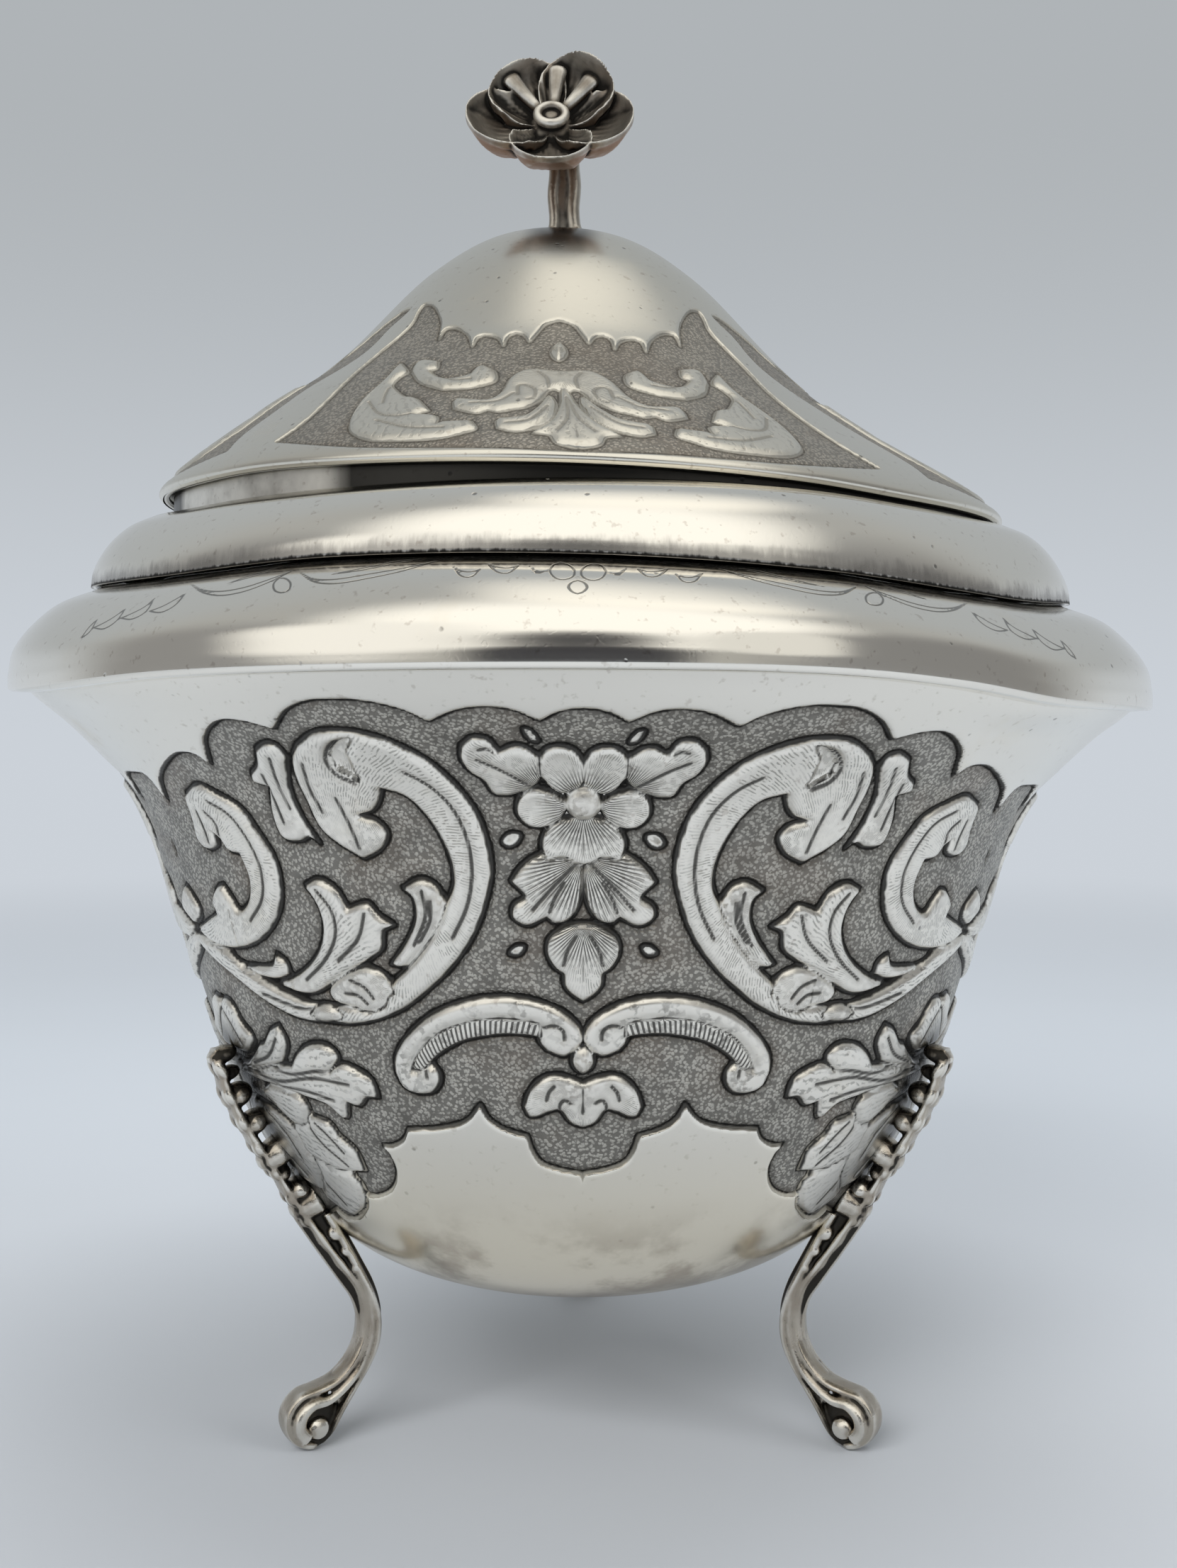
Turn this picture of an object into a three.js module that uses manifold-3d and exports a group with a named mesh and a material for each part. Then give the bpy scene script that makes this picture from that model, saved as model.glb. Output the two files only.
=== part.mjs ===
// Round silver biscuit box on three cast cabriole legs, with a hinged ogee lid and a flower finial.
// Millimetres, +Z up. The origin is on the floor, under the middle of the bowl. The front faces -Y.

import * as THREE from 'three';
import { mergeVertices } from 'three/addons/utils/BufferGeometryUtils.js';
import Module from 'manifold-3d';

const wasm = await Module();
wasm.setup();

// Shared sheet and fits
const SHEET = 1.0; // wall of the raised silver sheet
const SEAT = 0.3; // gap between pieces that are soldered, screwed or resting on each other
const TURN_STEPS = 48; // facets round every turned piece

// Bowl, radius and height of its outer face at each station
const BOWL_BOTTOM_Z = 18.2;
const BOTTOM_RADIUS = 22.0;
const BOTTOM_RISE = 2.4;
const KNEE_RADIUS = 36.8;
const KNEE_Z = 28.0;
const BELLY_RADIUS = 49.2;
const BELLY_Z = 46.3;
const WAIST_RADIUS = 57.0;
const WAIST_Z = 68.0;
const THROAT_RADIUS = 64.2;
const THROAT_Z = 87.5;
const BOWL_TOP_RADIUS = 77.0;
const BOWL_TOP_Z = 101.2;

// Shoulder ring that overhangs the bowl
const RIM_OVERHANG = 3.0; // past the top of the bowl
const RIM_BAND_HEIGHT = 2.0; // upright edge below the bulge
const RIM_LEDGE = 0.5; // how far the rim's flat lip runs past the bowl's wall, inside
const SHOULDER_HEIGHT = 15.8; // from the lip's underside to the seam
const SHOULDER_RUN = 10.6; // from the rim in to the seam

// Collar ring with the mouth that the lid closes
const COLLAR_HEIGHT = 9.7;
const COLLAR_RUN = 8.2; // from the seam in to the collar's top
const MOUTH_LIP = 2.3; // from the collar's top in to the mouth
const MOUTH_DEPTH = 8.6;

// Lid
const LID_GAP = 0.7; // between the lid's edge wire and the top of the collar
const LID_OVERHANG = 1.4; // past the mouth
const BROW_SETBACK = 4.1; // from the lid's edge in to its brow
const BROW_RISE = 3.5; // heights of the dome's stations are measured from its edge
const FLARE_RADIUS = 45.5;
const FLARE_RISE = 10.4;
const OGEE_RADIUS = 34.0;
const OGEE_RISE = 18.3;
const CAP_RADIUS = 20.2; // round cap, measured where it meets the ogee
const CAP_RISE = 33.0;
const CAP_HEIGHT = 8.6;
const CROWN_SIDE = -2.6; // the dome's crown and finial sit this far to the side of its edge
const CROWN_SIDE_RISE = 14.0; // height over which the dome moves across
const EDGE_WIRE = 1.1; // height and width of the wire under the lid's edge
const BEZEL_CLEARANCE = 0.5; // between the bezel and the mouth
const BEZEL_WALL = 0.8;
const BEZEL_DEPTH = 5.2; // how far the bezel reaches into the mouth

// Hinge at the back
const KNUCKLE_COUNT = 5;
const KNUCKLE_LENGTH = 4.6;
const KNUCKLE_GAP = 0.3;
const KNUCKLE_RADIUS = 1.75;
const PIN_RADIUS = 0.7;
const PIN_CLEARANCE = 0.1;
const PIN_OVERHANG = 0.5; // how far the pin stands out at each end
const HINGE_SETBACK = 1.3; // from the lid's edge to the knuckles
const LEAF_THICKNESS = 0.8;
const BOX_LEAF_HEIGHT = 4.8;
const LID_LEAF_HEIGHT = 3.4;

// Finial
const STEM_ROD_RADIUS = 1.0;
const STEM_SPACING = 2.9; // between the axes of the two rods
const STEM_WEB = 0.9;
const STEM_HEIGHT = 13.6; // from the foot's underside to the top of the rods
const FOOT_DISC_RADIUS = 3.1;
const FOOT_DISC_HEIGHT = 0.8;
const STUD_RADIUS = 1.3;
const STUD_CLEARANCE = 0.3;
const STUD_TAIL = 0.9; // how far the stud shows below the nut
const WASHER_RADIUS = 3.6;
const WASHER_THICKNESS = 0.6;
const NUT_RADIUS = 2.9; // across corners, halved
const NUT_HEIGHT = 2.0;
const PETAL_COUNT = 5;
const PETAL_REACH = 12.5; // from the flower's centre to a petal's tip
const PETAL_WIDTH = 12.6;
const PETAL_CUP = 3.6; // how far the tips stand forward of the centre
const PETAL_CURL = 1.5; // how far the sides stand forward of the middle
const PETAL_THICKNESS = 1.1;
const FLOWER_TILT = 58; // degrees from facing straight up towards the front
const FLOWER_FORWARD = 2.6;
const FLOWER_SIDE = -1.7; // from the stem
const BOSS_RADIUS = 2.1;
const BOSS_WIRE = 0.85;

// Legs
const LEG_COUNT = 3;
const STRAP_TOP_Z = 54.6;
const STRAP_STANDOFF = 3.1; // from the bowl to the middle of the strap
const STRAP_THICKNESS = 1.8;
const STRAP_WIDTH = 4.2;
const STRAP_LEAVE_Z = 33.6; // lowest knob, where the leg leaves the bowl
const KNOB_RADIUS = 2.1;
const KNOB_COUNT = 4;
const SHAFT_THICKNESS = 3.4;
const SHAFT_WIDTH = 4.4;
const SHAFT_NECK_RADIUS = 33.9; // radius from the box's axis at the slimmest place
const SHAFT_NECK_Z = 15.5;
const SCROLL_CENTRE_RADIUS = 41.9; // from the box's axis
const SCROLL_RADIUS = 4.4;
const SCROLL_RIBBON = 1.7;
const SCROLL_WIDTH = 4.6;
const SCROLL_BALL_RADIUS = 2.7;
const FOOT_FLAT = 0.2; // worn off the bottom of each scroll

// Places that follow from the sizes
const RIM_RADIUS = BOWL_TOP_RADIUS + RIM_OVERHANG;
const RIM_LIP = RIM_OVERHANG + SHEET + RIM_LEDGE;
const SEAM_RADIUS = RIM_RADIUS - SHOULDER_RUN;
const COLLAR_TOP_RADIUS = SEAM_RADIUS - COLLAR_RUN;
const MOUTH_RADIUS = COLLAR_TOP_RADIUS - MOUTH_LIP;
const LID_EDGE_RADIUS = MOUTH_RADIUS + LID_OVERHANG;
const BROW_RADIUS = LID_EDGE_RADIUS - BROW_SETBACK;
const SHOULDER_BOTTOM_Z = BOWL_TOP_Z + SEAT;
const SEAM_Z = SHOULDER_BOTTOM_Z + SHOULDER_HEIGHT;
const COLLAR_BOTTOM_Z = SEAM_Z + SEAT;
const COLLAR_TOP_Z = COLLAR_BOTTOM_Z + COLLAR_HEIGHT;
const WIRE_BOTTOM_Z = COLLAR_TOP_Z + LID_GAP;
const LID_EDGE_Z = WIRE_BOTTOM_Z + EDGE_WIRE + SEAT;
const LID_TOP_Z = LID_EDGE_Z + CAP_RISE + CAP_HEIGHT;
const BEZEL_RADIUS = MOUTH_RADIUS - BEZEL_CLEARANCE;
const HINGE_Y = LID_EDGE_RADIUS + HINGE_SETBACK + KNUCKLE_RADIUS;
const HINGE_Z = COLLAR_TOP_Z + 2 * SEAT + KNUCKLE_RADIUS;
const KNUCKLE_PITCH = KNUCKLE_LENGTH + KNUCKLE_GAP;
const BARREL_LENGTH = KNUCKLE_COUNT * KNUCKLE_PITCH - KNUCKLE_GAP;
const STUD_HOLE = STUD_RADIUS + STUD_CLEARANCE;
const STEM_BOTTOM_Z = LID_TOP_Z + SEAT;
const STEM_TOP_Z = STEM_BOTTOM_Z + STEM_HEIGHT;
const SCROLL_CENTRE_Z = SCROLL_RADIUS - FOOT_FLAT;

const SILVER = { color: 0xcdc8b9, roughness: 0.22, metalness: 1 };
const CHASED_SILVER = { color: 0xb4afa0, roughness: 0.34, metalness: 1 };
const LID_SILVER = { color: 0x9c9b90, roughness: 0.3, metalness: 1 };
const CAST_SILVER = { color: 0x96897c, roughness: 0.36, metalness: 1 };
const STEEL = { color: 0x8d8f92, roughness: 0.4, metalness: 1 };

// Curve and profile helpers

function smooth(stations, count) {
  const points = stations.map(([radius, z]) => new THREE.Vector3(radius, z, 0));
  const curve = new THREE.CatmullRomCurve3(points, false, 'centripetal');
  return curve.getSpacedPoints(count).map((p) => new THREE.Vector2(p.x, p.y));
}

// The same line moved to its left by a distance.
function offset(line, distance) {
  return line.map((point, i) => {
    const before = line[Math.max(i - 1, 0)];
    const after = line[Math.min(i + 1, line.length - 1)];
    const along = after.clone().sub(before).normalize();
    return new THREE.Vector2(point.x - along.y * distance, point.y + along.x * distance);
  });
}

// The line moved to its left, with every second point left out between its ends.
function inside(line, distance) {
  return offset(line, distance).filter((_, i) => i % 2 === 0 || i === line.length - 1);
}

function crossing(line, value, from, to) {
  for (let i = 1; i < line.length; i += 1) {
    const a = line[i - 1];
    const b = line[i];
    if ((a[from] - value) * (b[from] - value) <= 0 && a[from] !== b[from]) {
      const share = (value - a[from]) / (b[from] - a[from]);
      return a[to] + share * (b[to] - a[to]);
    }
  }
  throw new Error(`the outline never reaches ${value}`);
}

const radiusAt = (line, z) => crossing(line, z, 'y', 'x');
const heightAt = (line, radius) => crossing(line, radius, 'x', 'y');

function revolve(outline, steps = TURN_STEPS) {
  return new THREE.LatheGeometry(outline, steps).rotateX(Math.PI / 2);
}

function ring(innerRadius, outerRadius, bottom, top, steps = TURN_STEPS) {
  const corners = [[outerRadius, bottom], [outerRadius, top], [innerRadius, top], [innerRadius, bottom]];
  const outline = corners.map(([x, y]) => new THREE.Vector2(x, y));
  return revolve([...outline, outline[0].clone()], steps);
}

function block(width, depth, height, x, y, z) {
  return new THREE.BoxGeometry(width, depth, height).translate(x, y, z);
}

// Solid helpers

function solid(geometry) {
  const bare = geometry.clone();
  bare.deleteAttribute('normal');
  bare.deleteAttribute('uv');
  const merged = mergeVertices(bare, 1e-4);
  const corners = merged.index.array;
  const kept = [];
  for (let i = 0; i < corners.length; i += 3) {
    const [a, b, c] = corners.slice(i, i + 3);
    if (a !== b && b !== c && a !== c) {
      kept.push(a, b, c);
    }
  }
  const mesh = new wasm.Mesh({
    numProp: 3,
    vertProperties: new Float32Array(merged.attributes.position.array),
    triVerts: new Uint32Array(kept),
  });
  return new wasm.Manifold(mesh);
}

function union(geometries) {
  return geometries.map(solid).reduce((all, next) => all.add(next));
}

function geometryOf(manifold) {
  const mesh = manifold.getMesh();
  const geometry = new THREE.BufferGeometry();
  geometry.setAttribute('position', new THREE.BufferAttribute(mesh.vertProperties, 3));
  geometry.setIndex(new THREE.BufferAttribute(mesh.triVerts, 1));
  geometry.computeVertexNormals();
  return geometry;
}

// A closed skin over rings of points, each ring with the same count, with a flat cap at each end.
function loft(rings) {
  const sides = rings[0].length;
  const positions = rings.flat().flatMap((p) => [p.x, p.y, p.z]);
  const faces = [];
  for (let i = 0; i + 1 < rings.length; i += 1) {
    for (let j = 0; j < sides; j += 1) {
      const a = i * sides + j;
      const b = i * sides + (j + 1) % sides;
      faces.push(a, b, a + sides, b, b + sides, a + sides);
    }
  }
  const last = (rings.length - 1) * sides;
  for (let j = 1; j + 1 < sides; j += 1) {
    faces.push(0, j + 1, j, last, last + j, last + j + 1);
  }
  const geometry = new THREE.BufferGeometry();
  geometry.setAttribute('position', new THREE.Float32BufferAttribute(positions, 3));
  geometry.setIndex(faces);
  return geometry;
}

// A bar along a line in the XZ plane. Its section is a rounded box that sizeAt gives for each share of the way.
function bar(line, sizeAt, sides = 8) {
  const rings = line.map((point, i) => {
    const before = line[Math.max(i - 1, 0)];
    const after = line[Math.min(i + 1, line.length - 1)];
    const along = after.clone().sub(before).normalize();
    const [thickness, width] = sizeAt(i / (line.length - 1));
    return Array.from({ length: sides }, (_, j) => {
      const angle = ((j + 0.5) / sides) * 2 * Math.PI;
      const fullness = 1.08;
      const across = Math.cos(angle) * fullness * thickness / 2;
      const aside = Math.sin(angle) * fullness * width / 2;
      return new THREE.Vector3(point.x + along.y * across, aside, point.y - along.x * across);
    });
  });
  return loft(rings);
}

// Bowl

const bowlLine = smooth([
  [0, BOWL_BOTTOM_Z],
  [BOTTOM_RADIUS, BOWL_BOTTOM_Z + BOTTOM_RISE],
  [KNEE_RADIUS, KNEE_Z],
  [BELLY_RADIUS, BELLY_Z],
  [WAIST_RADIUS, WAIST_Z],
  [THROAT_RADIUS, THROAT_Z],
  [BOWL_TOP_RADIUS, BOWL_TOP_Z],
], 15);

function makeBowl() {
  const inner = inside(bowlLine, SHEET);
  inner[0] = new THREE.Vector2(0, BOWL_BOTTOM_Z + SHEET);
  const rim = new THREE.Vector2(inner.at(-1).x, BOWL_TOP_Z);
  return revolve([...bowlLine, rim, ...inner.slice(0, -1).reverse()]);
}

// Shoulder and collar

function makeShoulderRing() {
  const bulge = smooth([
    [RIM_RADIUS, SHOULDER_BOTTOM_Z + RIM_BAND_HEIGHT],
    [RIM_RADIUS - 0.055 * SHOULDER_RUN, SHOULDER_BOTTOM_Z + 0.36 * SHOULDER_HEIGHT],
    [RIM_RADIUS - 0.255 * SHOULDER_RUN, SHOULDER_BOTTOM_Z + 0.61 * SHOULDER_HEIGHT],
    [RIM_RADIUS - 0.595 * SHOULDER_RUN, SHOULDER_BOTTOM_Z + 0.85 * SHOULDER_HEIGHT],
    [SEAM_RADIUS - SHEET, SEAM_Z],
  ], 7);
  const lip = [
    new THREE.Vector2(RIM_RADIUS - RIM_LIP, SHOULDER_BOTTOM_Z),
    new THREE.Vector2(RIM_RADIUS, SHOULDER_BOTTOM_Z),
  ];
  const bulgeInside = inside(bulge, SHEET).reverse();
  const lipInside = [
    new THREE.Vector2(RIM_RADIUS - SHEET, SHOULDER_BOTTOM_Z + SHEET),
    new THREE.Vector2(RIM_RADIUS - RIM_LIP, SHOULDER_BOTTOM_Z + SHEET),
  ];
  return revolve([...lip, ...bulge, ...bulgeInside, ...lipInside, lip[0].clone()]);
}

const collarFace = smooth([
  [SEAM_RADIUS, COLLAR_BOTTOM_Z],
  [SEAM_RADIUS - 0.035 * COLLAR_RUN, COLLAR_BOTTOM_Z + 0.22 * COLLAR_HEIGHT],
  [SEAM_RADIUS - 0.255 * COLLAR_RUN, COLLAR_BOTTOM_Z + 0.56 * COLLAR_HEIGHT],
  [SEAM_RADIUS - 0.6 * COLLAR_RUN, COLLAR_BOTTOM_Z + 0.84 * COLLAR_HEIGHT],
  [COLLAR_TOP_RADIUS, COLLAR_TOP_Z],
], 7);

function makeCollarRing() {
  const line = [
    ...collarFace,
    new THREE.Vector2(MOUTH_RADIUS + 0.4, COLLAR_TOP_Z - 0.3),
    new THREE.Vector2(MOUTH_RADIUS, COLLAR_TOP_Z - SHEET),
    new THREE.Vector2(MOUTH_RADIUS, COLLAR_TOP_Z - MOUTH_DEPTH),
  ];
  return revolve([...line, ...offset(line, SHEET).reverse(), line[0].clone()]);
}

// Lid

const lidLine = smooth([
  [LID_EDGE_RADIUS, LID_EDGE_Z],
  [BROW_RADIUS, LID_EDGE_Z + BROW_RISE],
  [FLARE_RADIUS, LID_EDGE_Z + FLARE_RISE],
  [OGEE_RADIUS, LID_EDGE_Z + OGEE_RISE],
  [CAP_RADIUS, LID_EDGE_Z + CAP_RISE],
  [CAP_RADIUS * 0.55, LID_TOP_Z - CAP_HEIGHT * 0.2],
  [STUD_HOLE, LID_TOP_Z],
], 14);
const lidInside = inside(lidLine, SHEET);

// The turned dome, with its crown moved sideways over its edge.
function makeLidDome() {
  const edge = new THREE.Vector2(LID_EDGE_RADIUS - SHEET, LID_EDGE_Z);
  const hole = new THREE.Vector2(STUD_HOLE, lidInside.at(-1).y);
  const outline = [...lidLine, hole, ...lidInside.slice(1, -1).reverse(), edge, lidLine[0].clone()];
  const dome = revolve(outline);
  const places = dome.attributes.position;
  for (let i = 0; i < places.count; i += 1) {
    const z = places.getZ(i);
    const share = THREE.MathUtils.smoothstep(z, LID_EDGE_Z, LID_EDGE_Z + CROWN_SIDE_RISE);
    places.setX(i, places.getX(i) + CROWN_SIDE * share);
  }
  return dome;
}

function makeBezel() {
  const bottom = COLLAR_TOP_Z - BEZEL_DEPTH;
  const top = heightAt(lidInside, BEZEL_RADIUS) - SEAT;
  return ring(BEZEL_RADIUS - BEZEL_WALL, BEZEL_RADIUS, bottom, top);
}

function makeEdgeWire() {
  const middle = LID_EDGE_RADIUS - EDGE_WIRE / 2;
  const outline = Array.from({ length: 7 }, (_, i) => {
    const angle = (i / 6) * 2 * Math.PI;
    const x = middle + Math.cos(angle) * EDGE_WIRE / 2;
    return new THREE.Vector2(x, WIRE_BOTTOM_Z + EDGE_WIRE / 2 + Math.sin(angle) * EDGE_WIRE / 2);
  });
  return revolve(outline);
}

// Hinge

function rodAlongX(radius, from, to, y, z, sides = 20) {
  const rod = new THREE.CylinderGeometry(radius, radius, to - from, sides);
  return rod.rotateZ(Math.PI / 2).translate((from + to) / 2, y, z);
}

function knuckleSpan(index) {
  const from = -BARREL_LENGTH / 2 + index * KNUCKLE_PITCH;
  return [from, from + KNUCKLE_LENGTH];
}

// A leaf that follows a turned face at the back, standing off it by the seat gap.
function makeLeafPlate(line, lowest, highest) {
  const near = offset(line, -SEAT);
  const far = offset(line, -SEAT - LEAF_THICKNESS);
  const shell = solid(revolve([...far, ...near.reverse(), far[0].clone()]));
  const middle = (lowest + highest) / 2;
  const window = block(BARREL_LENGTH, RIM_RADIUS, highest - lowest, 0, RIM_RADIUS / 2, middle);
  return shell.intersect(solid(window));
}

// Everything under a turned face, a seat gap larger than it.
function makeRoomUnder(line) {
  const face = offset(line, -SEAT);
  const base = Math.min(...line.map((point) => point.y)) - KNUCKLE_RADIUS;
  const foot = [new THREE.Vector2(0, base), new THREE.Vector2(face[0].x, base)];
  return solid(revolve([...foot, ...face, new THREE.Vector2(0, face.at(-1).y)]));
}

// Knuckles joined to a plate, with room cut for the other leaf's knuckles and a bore for the pin.
function makeLeaf(plate, firstKnuckle, makeWeb, seat) {
  let leaf = plate;
  for (let i = firstKnuckle; i < KNUCKLE_COUNT; i += 2) {
    const [from, to] = knuckleSpan(i);
    const knuckle = solid(rodAlongX(KNUCKLE_RADIUS, from, to, HINGE_Y, HINGE_Z));
    const web = solid(makeWeb((from + to) / 2)).subtract(seat);
    leaf = leaf.add(knuckle).add(web);
  }
  for (let i = 1 - firstKnuckle; i < KNUCKLE_COUNT; i += 2) {
    const [from, to] = knuckleSpan(i);
    const room = rodAlongX(KNUCKLE_RADIUS + SEAT, from - KNUCKLE_GAP, to + KNUCKLE_GAP, HINGE_Y, HINGE_Z);
    leaf = leaf.subtract(solid(room));
  }
  const bore = PIN_RADIUS + PIN_CLEARANCE;
  return leaf.subtract(solid(rodAlongX(bore, -BARREL_LENGTH, BARREL_LENGTH, HINGE_Y, HINGE_Z)));
}

function makeBoxLeaf() {
  const top = heightAt(offset(collarFace, -SEAT - LEAF_THICKNESS), HINGE_Y);
  const plate = makeLeafPlate(collarFace, COLLAR_TOP_Z - BOX_LEAF_HEIGHT, top);
  const depth = KNUCKLE_RADIUS;
  const height = HINGE_Z - COLLAR_TOP_Z + KNUCKLE_RADIUS;
  const makeWeb = (x) => block(KNUCKLE_LENGTH, depth, height, x, HINGE_Y + depth / 2, HINGE_Z - height / 2);
  return geometryOf(makeLeaf(plate, 0, makeWeb, makeRoomUnder(collarFace)));
}

function makeLidLeaf() {
  const plate = makeLeafPlate(lidLine, LID_EDGE_Z, LID_EDGE_Z + LID_LEAF_HEIGHT);
  const depth = HINGE_SETBACK + KNUCKLE_RADIUS + LEAF_THICKNESS;
  const height = KNUCKLE_RADIUS;
  const bottom = Math.max(LID_EDGE_Z, HINGE_Z - KNUCKLE_RADIUS / 2);
  const makeWeb = (x) => block(KNUCKLE_LENGTH, depth, height, x, HINGE_Y - depth / 2, bottom + height / 2);
  return geometryOf(makeLeaf(plate, 1, makeWeb, makeRoomUnder(lidLine)));
}

// Finial

function makeStem() {
  const rodHeight = STEM_HEIGHT - FOOT_DISC_HEIGHT / 2;
  const rodMiddle = STEM_TOP_Z - rodHeight / 2;
  const parts = [-1, 1].map((side) => {
    const rod = new THREE.CylinderGeometry(STEM_ROD_RADIUS, STEM_ROD_RADIUS, rodHeight, 12);
    return rod.rotateX(Math.PI / 2).translate(side * STEM_SPACING / 2, 0, rodMiddle);
  });
  parts.push(block(STEM_SPACING, STEM_WEB, rodHeight, 0, 0, rodMiddle));
  const disc = new THREE.CylinderGeometry(FOOT_DISC_RADIUS * 0.85, FOOT_DISC_RADIUS, FOOT_DISC_HEIGHT, 24);
  parts.push(disc.rotateX(Math.PI / 2).translate(0, 0, STEM_BOTTOM_Z + FOOT_DISC_HEIGHT / 2));
  const studLength = STEM_BOTTOM_Z + FOOT_DISC_HEIGHT / 2 - studBottomZ;
  const stud = new THREE.CylinderGeometry(STUD_RADIUS, STUD_RADIUS, studLength, 16);
  parts.push(stud.rotateX(Math.PI / 2).translate(0, 0, studBottomZ + studLength / 2));
  return union(parts);
}

const washerTopZ = heightAt(lidInside, WASHER_RADIUS) - SEAT;
const nutTopZ = washerTopZ - WASHER_THICKNESS - SEAT;
const studBottomZ = nutTopZ - NUT_HEIGHT - STUD_TAIL;

function makeNut() {
  const outline = new THREE.Shape();
  for (let i = 0; i < 6; i += 1) {
    const angle = (i / 6) * 2 * Math.PI;
    const step = i === 0 ? 'moveTo' : 'lineTo';
    outline[step](NUT_RADIUS * Math.cos(angle), NUT_RADIUS * Math.sin(angle));
  }
  outline.closePath();
  outline.holes.push(new THREE.Path().absarc(0, 0, STUD_HOLE, 0, 2 * Math.PI, true));
  const settings = { depth: NUT_HEIGHT, bevelEnabled: false, curveSegments: 8 };
  return new THREE.ExtrudeGeometry(outline, settings).translate(0, 0, nutTopZ - NUT_HEIGHT);
}

// One cupped petal along +X in the flower's own plane, with the flower facing +Z.
function makePetal() {
  const lengthSteps = 6;
  const sideSteps = 5;
  const root = BOSS_RADIUS * 0.4;
  const rings = [];
  for (let i = 0; i <= lengthSteps; i += 1) {
    const v = i / lengthSteps;
    const belly = 0.62;
    const slope = v < belly ? (belly - v) / belly : (v - belly) / (1.06 - belly);
    const half = Math.max(Math.sqrt(1 - slope * slope) * PETAL_WIDTH / 2, BOSS_RADIUS * 0.7);
    const reach = root + (PETAL_REACH - root) * v;
    const front = [];
    const back = [];
    for (let j = 0; j <= sideSteps; j += 1) {
      const u = (2 * j) / sideSteps - 1;
      const height = PETAL_CUP * v * v + PETAL_CURL * u * u * v;
      const along = reach - 0.1 * PETAL_REACH * u * u * v;
      front.push(new THREE.Vector3(along, u * half, height));
      back.push(new THREE.Vector3(along, u * half * 0.97, height - PETAL_THICKNESS));
    }
    rings.push([...back, ...front.reverse()]);
  }
  return loft(rings);
}

function makeFlower() {
  const parts = [];
  for (let i = 0; i < PETAL_COUNT; i += 1) {
    parts.push(makePetal().rotateZ((i / PETAL_COUNT) * 2 * Math.PI - Math.PI / 2));
  }
  const boss = new THREE.TorusGeometry(BOSS_RADIUS, BOSS_WIRE, 8, 20).translate(0, 0, BOSS_WIRE);
  const calyx = revolve([
    [0, -PETAL_THICKNESS * 3.2],
    [STEM_SPACING * 0.9, -PETAL_THICKNESS * 2.8],
    [PETAL_WIDTH * 0.36, -PETAL_THICKNESS * 0.6],
    [PETAL_WIDTH * 0.3, BOSS_WIRE * 0.4],
    [0, BOSS_WIRE * 0.8],
  ].map(([x, y]) => new THREE.Vector2(x, y)), 20);
  parts.push(boss, calyx);
  const tilt = THREE.MathUtils.degToRad(FLOWER_TILT);
  const back = PETAL_THICKNESS * 3.2;
  const centreZ = STEM_TOP_Z + SEAT + back * Math.cos(tilt) - 0.6;
  const placed = parts.map((part) => part.rotateX(tilt).translate(FLOWER_SIDE, -FLOWER_FORWARD, centreZ));
  const socketDepth = STEM_HEIGHT / 2;
  const socket = block(
    STEM_SPACING + 2 * STEM_ROD_RADIUS + 2 * SEAT,
    2 * STEM_ROD_RADIUS + 2 * SEAT,
    socketDepth,
    0, 0, STEM_TOP_Z + SEAT - socketDepth / 2,
  );
  return geometryOf(union(placed).subtract(solid(socket)));
}

// Legs, made along +X and turned into place

// A solid a seat gap larger than the bowl, which trims the knobs to lie on it.
function makeBowlRoom() {
  const line = offset(bowlLine, -SEAT);
  line[0] = new THREE.Vector2(0, BOWL_BOTTOM_Z - SEAT);
  return solid(revolve([...line, new THREE.Vector2(0, line.at(-1).y)]));
}

function strapPoint(z, standoff) {
  return [radiusAt(offset(bowlLine, -standoff), z), z];
}

function makeLegLine() {
  const strap = [0, 0.36, 0.7, 1].map((share) => {
    const z = STRAP_TOP_Z + share * (STRAP_LEAVE_Z - STRAP_TOP_Z);
    return strapPoint(z, STRAP_STANDOFF);
  });
  const [leaveRadius] = strap.at(-1);
  const bend = STRAP_LEAVE_Z - SHAFT_NECK_Z;
  const knee = leaveRadius - SHAFT_NECK_RADIUS;
  const shaft = [
    [SHAFT_NECK_RADIUS + 0.46 * knee, SHAFT_NECK_Z + 0.67 * bend],
    [SHAFT_NECK_RADIUS + 0.12 * knee, SHAFT_NECK_Z + 0.34 * bend],
    [SHAFT_NECK_RADIUS, SHAFT_NECK_Z],
  ];
  return { strap, shaft };
}

function scrollPoint(turn) {
  const radius = (SCROLL_RADIUS - SCROLL_RIBBON / 2) * (1 - 0.26 * Math.max(turn - 0.4, 0));
  const angle = Math.PI * (1.12 + 2 * turn);
  return [SCROLL_CENTRE_RADIUS + radius * Math.cos(angle), SCROLL_CENTRE_Z + radius * Math.sin(angle)];
}

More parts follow.
